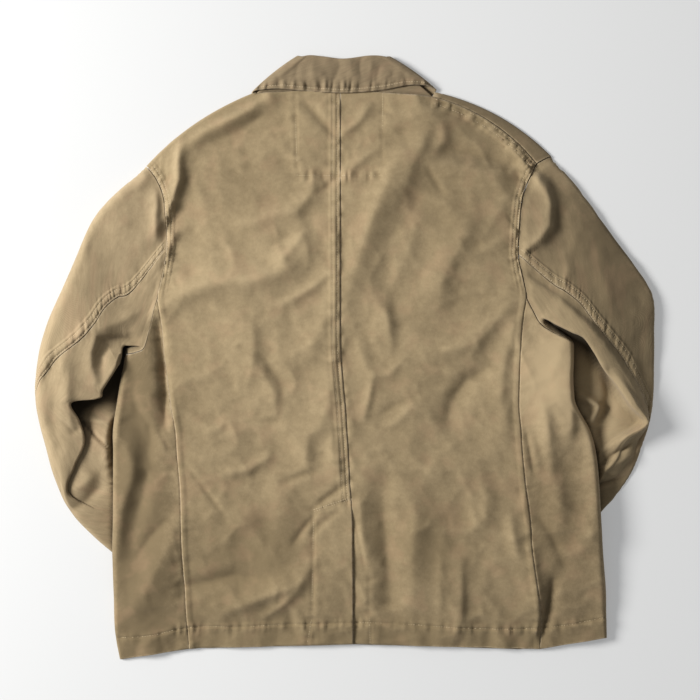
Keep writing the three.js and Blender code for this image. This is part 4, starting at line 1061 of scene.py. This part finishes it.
# ---- sleeves: each is a top and an under piece of twill. They are joined by a felled seam at the
# back, double-stitched on the top piece, and by a plain one at the front. The armhole seam is
# double-stitched on the body. Each elbow folds over itself and each forearm lies beneath the body.
# The tables run from the armhole to the cuff: the two rolled edges, the edge of the upper layer
# where the elbow folds, the heights of that layer, of the drop past it and of the lower layer, the
# back seam's place as a share of the way across, and how far the cloth tucks in under the fold.
SLEEVE = {
    "left": {
        "outer": [(-281, 216), (-316, 179), (-338, 131), (-356, 89), (-378, 36), (-385, 10),
                  (-390, -32), (-390, -56), (-386, -80), (-378, -112), (-367, -151), (-350, -190),
                  (-318, -226), (-275, -262)],
        "fold": [(-258, 15), (-270, 16), (-280, 14), (-282, 0), (-289, -16), (-303, -38),
                 (-312, -51), (-343, -56), (-334, -78), (-328, -105), (-341, -137), (-349, -170),
                 (-300, -200), (-250, -218)],
        "inner": [(-278, 12), (-280, 2), (-280, -10), (-278, -22), (-274, -36), (-268, -50),
                  (-260, -63), (-252, -75), (-246, -88), (-234, -103), (-220, -118), (-207, -132),
                  (-194, -147), (-180, -163)],
        "crest": [17.5, 18.5, 22, 26, 30, 31, 32, 31, 28, 25, 21, 14, 6, 5.4],
        "step": [1, 1, 2, 3, 4, 4, 4, 4, 4, 3, 2, 1, 0, 0],
        "low": [12, 10, 7, 5, 4, 4, 4, 5, 11, 16, 14, 9, 5, 5],
        "seam": [0.585, 0.575, 0.515, 0.47, 0.37, 0.265, 0.14, 0.03, -0.08, -0.14, -0.2, -0.2, -0.2,
                 -0.2],
        "tuck": [0.3, 0.6, 0.9, 1, 1, 1, 1, 1, 1, 1, 1, 0.8, 0, 0],
        "rise": [0.36, 0.68, 0.87, 0.96, 1.0],
    },
    "right": {
        "outer": [(281, 232), (307, 199), (339, 154), (370, 112), (388, 82), (391, 30), (391, -15),
                  (390, -52), (385, -84), (376, -112), (364, -143), (345, -172), (314, -207),
                  (277, -248)],
        "fold": [(250, 50), (266, 42), (284, 33), (301, 24), (312, 8), (325, -13), (341, -32),
                 (361, -60), (379, -82), (352, -101), (336, -126), (312, -150), (280, -182),
                 (250, -212)],
        "inner": [(286, 24), (285, 12), (283, 0), (281, -12), (279, -24), (277, -38), (275, -52),
                  (270, -68), (264, -84), (256, -98), (244, -112), (228, -124), (212, -138),
                  (196, -152)],
        "crest": [24, 31, 36, 38, 38, 37, 34, 31, 25, 18, 14, 10, 5.4, 5.4],
        "step": [2, 4, 6, 8, 8, 8, 8, 6, 4, 2, 0, 0, 0, 0],
        "low": [10, 8, 7, 6, 6, 6.5, 7, 7, 7, 8, 8, 6, 5.4, 5.4],
        "seam": [0.585, 0.57, 0.545, 0.535, 0.5, 0.37, 0.25, 0.12, 0.02, -0.04, -0.1, -0.16, -0.2,
                 -0.2],
        "tuck": [0.3, 0.5, 0.7, 0.7, 0.7, 0.5, 0.3, 0.2, 0.1, 0, 0, 0, 0, 0],
        "rise": [0.1, 0.16, 0.21, 0.31, 0.53],
    },
}
SLEEVE_FRONT_SEAM = 0.55  # the front seam's place as a share of the way across the underside
# sizes for the painted shade in hollows: the skyline's reach, cell and smoothing rounds, and on each
# side the depth below it that is darkest
SKY_REACH, SKY_CELL, SKY_ROUNDS = 420, 2.0, 36
SKY_DEPTH = {"left": 9, "right": 17}
EDGE_DEPTH = 18  # the deepest a rolled edge gets
TUCK = 12
SEAM_LINE = LAST_SECTION + 2  # the line of a body panel where a sleeve's seams meet the armhole
ARMHOLE_GAP = 0.9
ARMHOLE_CORNER = {"left": (-253, 12), "right": (244, 44)}
SLEEVE_LOW = {"top": 5.1, "past_edge": 1.5, "out": (1.6, 4), "from": -75, "up": 3, "rim": 10}
SLEEVE_STEPS = [(0, 0.6), (3, 1.3), (14, 1.6), (20, 2.1), (500, 2.1), (520, 4.5)]
SEAM_ROWS = (2.2, 9.5)
SLEEVE_BAND = 11.5
SLEEVE_SEAM_GAP = 0.8

# more folds, those of the sleeves, in the same form as the body's
SLEEVE_FOLDS = [
    ([(298, -48), (312, -55), (321, -62)], 6, 4, 3),
    ([(321, -62), (315, -76), (306, -88)], 6, 4, 2.4),
    ([(-332, -80), (-318, -97), (-303, -110), (-291, -125)], 1.6, 1.6, -2.6),
    ([(-300, 26), (-280, 27), (-262, 24)], 8, 6, -2.8),
    ([(-236, 208), (-239, 180), (-238, 150)], 7, 6, 2.5),
    ([(-262, 218), (-245, 236)], 5, 5, 1),
    ([(-262, 58), (-282, 46), (-304, 38), (-328, 34)], 12, 8, 1.8),
    ([(-328, 34), (-345, 18), (-354, 0), (-356, -20)], 8, 10, 1.6),
    ([(-278, 30), (-294, 31), (-311, 29), (-318, 8), (-318, -12), (-312, -28)], 7, 4.5, 1.8),
    ([(-284, 15), (-298, 14), (-306, 2), (-306, -16)], 11, 10, -3),
    ([(-284, -2), (-294, -20), (-306, -38)], 5, 5, 1),
    ([(-346, -18), (-348, -45), (-344, -82)], 12, 8, 2.2),
    ([(-340, 22), (-362, -4), (-380, -34)], 6, 9, -1.4),
    ([(-366, -40), (-366, -80), (-360, -110)], 9, 9, -1.1),
    ([(-352, -82), (-342, -92), (-336, -90)], 4, 4, -1.3),
    ([(-345, -166), (-330, -160), (-318, -148)], 9, 8, 1.5),
    ([(-346, -192), (-327, -180), (-313, -164), (-312, -148)], 7, 7, -1.8),
    ([(-330, 150), (-325, 110)], 20, 14, 1.2),
    ([(-328, -76), (-310, -80), (-290, -82)], 4, 4, 1.4),
    ([(-330, -78), (-312, -100), (-292, -122)], 2.4, 2.4, -1.0),
    ([(252, 216), (258, 190), (256, 166), (244, 149), (228, 137)], 18, 7, 4),
    ([(224, 127), (234, 134), (246, 144)], 3, 3, -1.6),
    ([(210, 270), (222, 249), (234, 234), (246, 217), (258, 198)], 7, 7, 2.6),
    ([(240, 92), (264, 80), (300, 45), (328, 15), (350, -18), (369, -50)], 8, 7, 1.8),
    ([(236, 104), (280, 70), (320, 36), (350, -2), (369, -30)], 5, 6, -1.3),
    ([(330, -16), (334, -45), (331, -70), (322, -96)], 7, 9, -2.6),
    ([(296, -46), (309, -53), (320, -60), (318, -68), (311, -76)], 4, 3.5, 1.6),
    ([(381, -83), (350, -101), (320, -119)], 7, 5, 2),
    ([(357, -111), (340, -121), (320, -138)], 4, 4, -3.4),
    ([(369, -119), (345, -132), (320, -147)], 6, 6, 1.8),
    ([(358, -151), (338, -155), (318, -160)], 4, 4, -2.6),
    ([(276, 130), (281, 108), (270, 94)], 8, 8, 1),
    ([(318, 116), (330, 90), (334, 62)], 12, 14, 1.2),
]

# how many steps there are from each key point of a section to the next
SECTION_STEPS = {
    "underside": [9, 5, 3],
    "outer roll": [3, 4, 4, 4],
    "upper layer": [10, 10, 10],
    "fold": [3, 3, 3, 4, 4, 3, 3, 4],
    "lower layer": [8, 8, 8],
    "inner roll": [4, 4],
    "underside again": [4, 6],
}
PART_STEPS = [sum(steps) for steps in SECTION_STEPS.values()]
OUTER_EDGE = PART_STEPS[0]
FOLD_START = sum(PART_STEPS[:3])
INNER_EDGE = sum(PART_STEPS[:5]) + SECTION_STEPS["inner roll"][0]


def section_keys(rise, outer, fold, inner, crest, step, low, tuck):
    """Key points round one section of a sleeve, from the front seam on the underside round the
    outer edge, along the upper layer, down the fold, and round the inner edge back to the seam."""
    outer, fold, inner = (np.array(place, float) for place in (outer, fold, inner))
    width, depth, span = (np.hypot(*way) for way in (fold - outer, inner - fold, inner - outer))
    edge_half, inner_half = min(crest, EDGE_DEPTH) / 2, (low - FLOOR_HEIGHT) / 2
    seam = SLEEVE_FRONT_SEAM * span

    def across(distance, z):
        return (*(outer + (fold - outer) / width * distance), z)

    def past(distance, z):
        return (*(fold + (inner - fold) / depth * distance), z)

    def under(distance, z=FLOOR_HEIGHT):
        return (*(outer + (inner - outer) / span * distance), z)

    high = crest - 0.3 * step
    drop, ledge = high - low, min(18, 0.6 * depth)
    flat_in = depth - 0.6 * inner_half
    tucked = [
        (-1.2, high - 0.5), (0, high - 2), (-2, high - 0.27 * drop), (-TUCK, (high + low) / 2),
        (-0.8 * TUCK, low + 1), (0, low), (ledge / 2, low),
    ]
    plain = [
        (-1.2, high), (0, high), (0.17 * ledge, high - 0.2 * drop), (0.34 * ledge, high - drop / 2),
        (0.56 * ledge, low + 0.2 * drop), (0.75 * ledge, low + 0.5), (0.9 * ledge, low),
    ]
    folded = [mix(np.array(a, float), np.array(b, float), tuck) for a, b in zip(plain, tucked)]
    return np.array([
        under(seam),
        under(0.25 * span),
        under(edge_half),
        under(0.35 * edge_half, mix(FLOOR_HEIGHT, crest, 0.3 * rise[0])),
        across(0, mix(FLOOR_HEIGHT, crest, rise[0])),
        across(0.25 * edge_half, mix(FLOOR_HEIGHT, crest, rise[1])),
        across(0.8 * edge_half, mix(FLOOR_HEIGHT, crest, rise[2])),
        across(min(2.4 * edge_half, width / 3), mix(FLOOR_HEIGHT, crest, rise[3])),
        across(0.5 * width, crest * rise[4]),
        across(0.75 * width, crest * (0.5 + 0.5 * rise[4]) - 0.05 * step),
        across(width - min(5, 0.15 * width), high),
        *[past(distance, z) for distance, z in folded],
        past(ledge, low),
        past(mix(ledge, flat_in, 0.33), low),
        past(mix(ledge, flat_in, 0.67), low),
        past(flat_in, low),
        past(depth, (FLOOR_HEIGHT + low) / 2),
        under(span - 0.8 * inner_half),
        under(mix(seam, span, 0.5)),
        under(seam),
    ])


def dense(keys):
    """The curve through one section's key points, with a set count of steps between each two."""
    chord = measured(keys) + np.arange(len(keys)) * 1e-3  # so that no two are equal
    counts = [n for steps in SECTION_STEPS.values() for n in steps]
    at = [np.linspace(a, b, n, endpoint=False) for a, b, n in zip(chord, chord[1:], counts)]
    return curve(chord, keys, np.concatenate(at + [chord[-1:]]))


def resampled(line, shares):
    """Points along a line at shares of its length."""
    far = measured(line)
    return np.column_stack([np.interp(shares * far[-1], far, axis) for axis in line.T])


def armhole_rim(side):
    """The rim of an armhole in five parts: from the front seam to the shoulder's tip, to the back
    seam, to the corner where the elbow's fold begins, to the armpit and to the front seam."""
    back, front = backs[side][:, -1], fronts[side][:, -1]
    up_back, up_front = back[PANEL_LINES >= SEAM_LINE], front[FRONT_LINES >= SEAM_LINE]
    low_back = back[(PANEL_LINES >= LAST_SECTION) & (PANEL_LINES <= SEAM_LINE)]
    low_front = front[(FRONT_LINES >= LAST_SECTION) & (FRONT_LINES <= SEAM_LINE)]
    tip = np.array([[*SHOULDER[side]["tip"], (back[-1, 2] + front[-1, 2]) / 2]])
    roll = rolled(back[-1:], front[-1:], tip, np.linspace(0, 1, 21))[:, 0]
    armpit = sides[side][-1]
    edge = len(SIDE_COLUMNS) + len(SIDE_ROLL) // 2 - 1
    down = np.vstack([low_back[::-1], armpit[: edge + 1]])
    corner = np.hypot(*(down[:, :2] - ARMHOLE_CORNER[side]).T).argmin()
    return [
        np.vstack([up_front, roll[:9:-1]]),
        np.vstack([roll[10::-1], up_back[::-1]]),
        down[: corner + 1],
        down[corner:],
        np.vstack([armpit[edge:], low_front]),
    ]


def sleeve_ceiling(side, x, y):
    """The greatest height of a sleeve at a place, so that it stays beneath the body."""
    low = SLEEVE_LOW
    edge = np.interp(np.minimum(y, ARMPIT[side][1]), BODY_Y, BODY[side + "_edge"])
    beside = np.maximum(0, (x - edge) * OUTWARDS[side] - low["past_edge"])
    above = np.maximum(0, y - ARMPIT[side][1])
    slope = mix(*low["out"], ease((y - low["from"]) / 20))
    return low["top"] + beside * slope + above * low["up"]


def sleeve_surface(side):
    """A sleeve's whole tube as rows of points from the armhole to the cuff, and the place of the
    back seam in each row."""
    table = SLEEVE[side]
    names = ("outer", "fold", "inner", "crest", "step", "low", "tuck")
    rows = list(zip(*(table[name] for name in names)))
    sections = [dense(section_keys(table["rise"], *row)) for row in rows]
    plain = [dense(section_keys(table["rise"], *row[:-1], 0)) for row in rows]
    cuts = []
    for line, share in zip(plain, table["seam"]):
        far = measured(line)
        if share < 0:
            place = far[OUTER_EDGE] * (1 + share / SLEEVE_FRONT_SEAM)
        else:
            place = mix(far[OUTER_EDGE], far[INNER_EDGE], share)
        cuts.append(np.interp(place, far, np.arange(len(far))))
    far = measured(plain[0])
    marks = [0, OUTER_EDGE, cuts[0], FOLD_START + 6, INNER_EDGE, len(far) - 1]
    places = np.interp(marks, np.arange(len(far)), far)
    rim = np.zeros_like(sections[0])
    for k, part in enumerate(armhole_rim(side)):
        within = (far >= places[k] - 1e-6) & (far <= places[k + 1] + 1e-6)
        shares = (far[within] - places[k]) / (places[k + 1] - places[k])
        rim[within] = resampled(part, np.clip(shares, 0, 1))
    way = sections[0] - rim
    rim += way / np.maximum(np.linalg.norm(way, axis=1, keepdims=True), 1) * ARMHOLE_GAP
    rim[:, 2] = np.maximum(FLOOR_HEIGHT, rim[:, 2] - ARMHOLE_GAP)
    rows = measured([SHOULDER[side]["tip"]] + table["outer"])
    at = graded(rows[-1], SLEEVE_STEPS)
    return curve(rows, np.stack([rim] + sections), at), curve(rows, [cuts[0]] + cuts, at)


def shaped(side, points, from_seam, on_top):
    """A sleeve's points with their folds, rumples and stitched seams, kept beneath the body."""
    x, y, z = np.moveaxis(points, -1, 0)
    loose = np.clip((z - 1.5) / 4, 0, 1)
    along, across = lengths(points, 0), lengths(points, 1)
    added = FOLD_RISE * folds(SLEEVE_FOLDS, x, y) + 1.1 * rumples(x, y, seed=71)
    added += seam_puckers(along, across, centre=3, reach=8, pitch=9, height=0.5, seed=81)
    if on_top:
        added += stitched_band(
            from_seam, along, SEAM_ROWS, SLEEVE_BAND, seed=85, height=1.1, pitch=4.2
        )
    else:
        added += seam_puckers(from_seam, along, centre=2, reach=6, pitch=9, height=0.5, seed=89)
    z = z + loose * added * ease(along / 12)
    near_rim = np.maximum(0, SLEEVE_LOW["rim"] - along) * SLEEVE_LOW["up"]
    z = np.minimum(z, sleeve_ceiling(side, x, y) + near_rim)
    return np.dstack([x, y, np.maximum(z, FLOOR_HEIGHT)])


def skyline(grids):
    """The greatest height of some grids in cells of SKY_CELL, averaged around each cell."""
    count = int(2 * SKY_REACH / SKY_CELL)
    top = np.full((count, count), FLOOR_HEIGHT)
    for points in grids:
        i, j = ((points[..., k] + SKY_REACH) / SKY_CELL for k in (0, 1))
        for di, dj in ((0, 0), (0.5, 0), (0, 0.5), (0.5, 0.5)):
            cell = (i + di).astype(int).ravel(), (j + dj).astype(int).ravel()
            np.maximum.at(top, cell, points[..., 2].ravel())
    mean = top.copy()
    for _ in range(SKY_ROUNDS):
        mean = (mean + np.roll(mean, 1, 0) + np.roll(mean, -1, 0)) / 3
        mean = (mean + np.roll(mean, 1, 1) + np.roll(mean, -1, 1)) / 3
    return mean


def hollowed(side, points, mean):
    """How deep each seen point lies below its surroundings, from 0 to 1."""
    cell = tuple(((points[..., k] + SKY_REACH) / SKY_CELL).astype(int) for k in (0, 1))
    below = ease((mean[cell] - points[..., 2] - 2) / SKY_DEPTH[side])
    return below * ease((points[..., 2] - 1.2) / 1.5)


def paint_hollow_shade(side, piece, mean):
    """Gives a piece an attribute of painted shade, strongest where it lies deep below its
    surroundings, which darkens its twill.
    """
    count = len(piece.data.vertices)
    places = np.empty(3 * count)
    piece.data.vertices.foreach_get("co", places)
    write_attribute(piece, "hollow_shade", hollowed(side, places.reshape(-1, 3) / MM, mean))


def sleeve_pieces(side):
    """The points of a sleeve's top piece, from the front seam to the back one, and of its under
    piece, from the back seam round to the front one."""
    surface, cut = sleeve_surface(side)
    far = lengths(surface, 1)
    index = np.arange(surface.shape[1])
    seam = np.array([np.interp(c, index, row) for c, row in zip(cut, far)])[:, None]

    def away_columns(near, end, shares):
        """Distances from the seam: steps that are the same in every row, and then even ones."""
        return np.hstack([np.repeat(near[None], len(seam), 0), mix(near[-1], end, shares)])

    def at_lengths(places):
        """Each row of the surface at its own distances along it."""
        at = np.stack([np.interp(p, row, index) for p, row in zip(places, far)])
        low = np.clip(np.floor(at).astype(int), 0, len(index) - 2)
        row = np.arange(len(at))[:, None]
        return mix(surface[row, low], surface[row, low + 1], (at - low)[..., None])

    reach = seam - SLEEVE_SEAM_GAP / 2
    near = graded(18, [(0, 0.5), (3, 1.2), (18, 1.5)])
    from_seam = away_columns(near, reach, np.linspace(0, 1, 66)[1:])
    top = shaped(side, at_lengths(reach - from_seam)[:, ::-1], from_seam[:, ::-1], True)
    # past the fold the under piece has the section's own steps
    near = graded(9, [(0, 0.6), (3, 1.4), (9, 2)])
    room = np.maximum(far[:, FOLD_START, None] - seam - SLEEVE_SEAM_GAP / 2, 9.5)
    from_seam = away_columns(near, room, np.linspace(0, 1, 38)[1:-1])
    first = at_lengths(seam + SLEEVE_SEAM_GAP / 2 + from_seam)
    under = np.concatenate([first, surface[:, FOLD_START:]], axis=1)
    return top, shaped(side, under, lengths(under, 1), False)


# the right sleeve's twill is darker than the left's: painted shade on the sleeve that slopes away from
# the light
SLEEVE_CLOTH = {
    "left": twill("twill_left", (0.405, 0.316, 0.198), (0.295, 0.226, 0.134), (0.51, 0.415, 0.29)),
    "right": twill("twill_sleeve_right_shaded", (0.352, 0.274, 0.168), (0.25, 0.192, 0.113), (0.48, 0.39, 0.27)),
}
for side in SLEEVE:
    top, under = sleeve_pieces(side)
    over = side == "left"
    sky = skyline([backs["left"], backs["right"], sides[side], top, under])
    top_piece = cloth("sleeve_cloth_top_" + side, [(top, over, ())], SLEEVE_CLOTH[side])
    under_piece = cloth("sleeve_cloth_under_" + side, [(under, over, ())], SLEEVE_CLOTH[side])
    # paints shade into the under piece where it lies deep below its surroundings
    paint_hollow_shade(side, under_piece, sky)
    normals = facing(top) * OUTWARDS[side]
    from_seam = lengths(top[:, ::-1], 1)[:, ::-1]
    columns = [np.abs(from_seam.mean(0) - row).argmin() for row in SEAM_ROWS]
    ends = [3 + np.argmax(top[3:, k, 2] < 2) for k in columns]
    rows = [(top[3:end, k], normals[3:end, k]) for k, end in zip(columns, ends)]
    stitches = sewn("stitches_sleeve_" + side, rows)
    node = "sleeve_" + side
    top_on = ["front_cloth_" + side]
    declare(node + "_top", top_on)
    declare(node + "_under")

# ---- pockets and flaps: a patch pocket low on each front with a flap over its mouth, which lie
# beneath the fronts, plain and pressed flat.
POCKET_LINES = (1, 5)
FLAP_LINES = (4, 5)
POCKET_SHARES = (0.25, 0.875)  # of the way across a front

POCKET_CLOTH = twill("twill_pocket", (0.39, 0.303, 0.192), (0.285, 0.219, 0.135), (0.5, 0.405, 0.28))


def patch_below(side, lines, layers):
    """The points of a front within some of its lines, moved down by a number of layers."""
    front = fronts[side]
    across = front[len(FRONT_LINES) // 6, :, 0]
    share = (across - across[0]) / (across[-1] - across[0])
    columns = (share >= POCKET_SHARES[0]) & (share <= POCKET_SHARES[1])
    rows = (FRONT_LINES >= lines[0]) & (FRONT_LINES <= lines[1])
    patch = front[rows][:, columns].copy()
    patch[..., 2] = np.maximum(FLOOR_HEIGHT, patch[..., 2] - layers * LAYER)
    return patch


for side in fronts:
    for kind, lines, layers in (("pocket", POCKET_LINES, 1), ("flap", FLAP_LINES, 2)):
        patch = patch_below(side, lines, layers)
        piece = cloth(kind + "_cloth_" + side, [(patch, side == "right", ())], POCKET_CLOTH)
        declare(kind + "_" + side)

# ---- buttons: five dished four-hole buttons of matt brown plastic, sewn to the right front, which
# lie against the ground.
BUTTON = {"first": 262, "pitch": 112, "count": 5}
BUTTON_PROFILE = np.array([  # radius and height above the ground, from the back to the face
    (0, 2.2), (7.8, 2.2), (8.7, 1.9), (9, 1.2), (8.8, 0.5), (8.1, 0.05), (7.2, 0.1), (6.4, 0.6),
    (0, 0.75),
])
BUTTON_BROWN, _ = new_material(
    "button_brown", {"Base Color": (0.075, 0.05, 0.032, 1), "Roughness": 0.5}
)

for number in range(BUTTON["count"]):
    y = BUTTON["first"] - number * BUTTON["pitch"]
    x = float(centre_front(np.array(float(y))))
    radius, height = BUTTON_PROFILE.T[:, :, None]
    angle = np.arange(32) / 32 * 2 * np.pi
    points = np.stack([
        x + radius * np.cos(angle), y + radius * np.sin(angle), height + 0 * angle
    ], -1)
    index = np.arange(points.shape[0] * len(angle)).reshape(points.shape[:2])
    turned = np.roll(index, -1, axis=1)
    quads = np.stack([index[:-1], index[1:], turned[1:], turned[:-1]], -1).reshape(-1, 4)
    name = f"button_face_{number + 1}"
    button = new_object(name, points.reshape(-1, 3) * MM, quads.tolist(), BUTTON_BROWN)
    button.data.validate()
    button.data.shade_smooth()
    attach(button, "root")
    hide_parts(f"button_{number + 1}")

# ---- collar: a stand sewn to the neck and a fall of two layers turned over it, stitched round its
# edge and gathered a little by those stitches.
# sections from the centre back round each side to the centre front: the place along the neckline,
# the fold line, the fall's edge, and the turn, 90 on the back and -90 on the underside
COLLAR = {
    "left": [
        (0, (-2, 376), (-2, 336), 90), (0.5, (-32, 379.5), (-52, 338.5), 90),
        (0.75, (-48, 381), (-90, 341), 90), (1, (-57, 379.5), (-111, 338.5), 80),
        (1, (-58, 378.5), (-113, 336), 40), (1, (-59, 378.5), (-115.5, 333), 0),
        (1, (-58, 376.5), (-115, 331), -40), (1, (-56, 375), (-113, 329), -80),
        (0.75, (-47, 348), (-107, 294), -90), (0.5, (-34, 332), (-96, 270), -90),
        (0.25, (-20, 324), (-76, 258), -90),
    ],
    "right": [
        (0, (-2, 376), (-2, 336), 90), (0.5, (30, 380), (50, 340), 90),
        (0.75, (46, 380.5), (88, 346), 90), (1, (54, 379), (106, 343.5), 80),
        (1, (55, 378), (111, 338.5), 40), (1, (56, 377.5), (113, 336.5), 0),
        (1, (55, 375.5), (112, 334), -40), (1, (53, 373.5), (109, 331), -80),
        (0.75, (45, 348), (105, 294), -90), (0.5, (32, 332), (94, 270), -90),
        (0.25, (18, 324), (74, 258), -90),
    ],
}
COLLAR_WALL = 1.6
COLLAR_ROLL = {"middle": 4.5, "radius": 2.4, "spread": 1.6, "out_x": 0.6, "out_y": 0.8, "tip": 2.4}
COLLAR_BOW = 2.2
COLLAR_STITCHES = 6.5
COLLAR_FOLDS = [
    ([(-9, 380), (-7, 368), (-14, 352), (-16, 344)], 6, 5, -2.4),
    ([(6, 377), (8, 362), (4, 350)], 6, 6, 1.4),
    ([(21, 380), (18, 368), (20, 356)], 4, 4, -1.8),
    ([(44, 370), (40, 354), (36, 345)], 3.5, 3.5, -1.8),
    ([(34, 373), (30, 356)], 4, 4, 1.5),
    ([(62, 366), (58, 352)], 3.5, 3.5, -1.5),
    ([(76, 362), (72, 350)], 4, 3, -1.2),
    ([(-40, 374), (-42, 352)], 6, 6, 1.2),
    ([(-60, 370), (-64, 352)], 4, 4, -1.2),
    ([(-86, 357), (-84, 348)], 3.5, 3.5, -1.2),
]


def collar_sections(side):
    """The collar's fall, fold and stand lines for each section of one side."""
    sign, roll, lines = OUTWARDS[side], COLLAR_ROLL, []
    for share, fold, edge, turn in COLLAR[side]:
        angle = np.radians(turn)
        out = np.array([roll["out_x"] * sign, roll["out_y"], 0]) * np.cos(angle)
        out[2] = np.sin(angle)
        centre, drop = (-3, NECK_Y), 0
        if turn < 0:
            centre, drop = (FRONT_NECK[0] - sign * FRONT_LAP, FRONT_NECK[1]), FRONT_NECK_DROP
        seam = neckline(side, centre, drop, share)
        stand, half_way, over = (
            out * (roll["radius"] + layer * roll["spread"]) + [0, 0, roll["middle"]]
            for layer in (-1, 0, 1)
        )
        fold, edge = np.array([*fold, 0]), np.array([*edge, 0])
        tip = fold + unit(fold - edge) * roll["tip"] + half_way
        neck = np.array([*seam, roll["middle"] + out[2] * (roll["radius"] - roll["spread"])])
        neck[:2] += unit(fold[:2] - neck[:2]) * 0.8
        lines.append([edge + over, fold + over, tip, fold + stand, neck, out])
    return np.array(lines)


both = np.concatenate([collar_sections("left")[::-1], collar_sections("right")[1:]])
along = measured((both[:, 0] + both[:, 1]) / 2)
both = curve(along, both, np.linspace(0, along[-1], 300))
edge, turn_over, tip, tuck, neck, out = both.transpose(1, 0, 2)
shares = graded(1, [(0, 0.018), (0.3, 0.03), (0.8, 0.035), (1, 0.03)])
fall = mix(edge[:, None], turn_over[:, None], shares[None, :, None])
fall += out[:, None] * COLLAR_BOW * (4 * shares * (1 - shares))[None, :, None] * np.array([1, 1, 0.3])
roll = rolled(turn_over, tuck, tip, np.linspace(0, 1, 9)[1:]).transpose(1, 0, 2)
fall = np.concatenate([fall, roll], axis=1)
x, y = fall[..., 0], fall[..., 1]
up = lengths(fall, 1)
on_top = ease((fall[..., 2] - 5) / 2.5)
added = folds(COLLAR_FOLDS, x, y)
added += seam_puckers(up, x, COLLAR_STITCHES, reach=7, pitch=6, height=2.4, seed=101)
added += 0.9 * rumple(x, y, size=17, seed=103) + 0.35 * rumple(x, y, size=8, seed=104)
added -= 0.8 * bell((up - COLLAR_STITCHES) / 1.2) + rounded(up, 2, 1)
fall[..., 2] = np.maximum(fall[..., 2] + on_top * added, COLLAR_WALL / 2)

COLLAR_CLOTH = twill("twill_collar", (0.312, 0.241, 0.152), (0.215, 0.165, 0.101), (0.47, 0.375, 0.255))
fall_piece = cloth("collar_fall_cloth", [(fall, True, ())], COLLAR_CLOTH, COLLAR_WALL)
stand = mix(neck[:, None], tuck[:, None], np.linspace(0, 0.93, 8)[None, :, None])
stand_piece = cloth("collar_stand_cloth", [(stand[::2], True, ())], COLLAR_CLOTH)
row = np.abs(up.mean(0) - COLLAR_STITCHES).argmin()
stitches = sewn("stitches_collar", [(fall[:, row], -facing(fall)[:, row])], COLLAR_WALL)
declare("collar_fall", ["collar_stand_cloth"])
declare("collar_stand", ["back_cloth_left"])
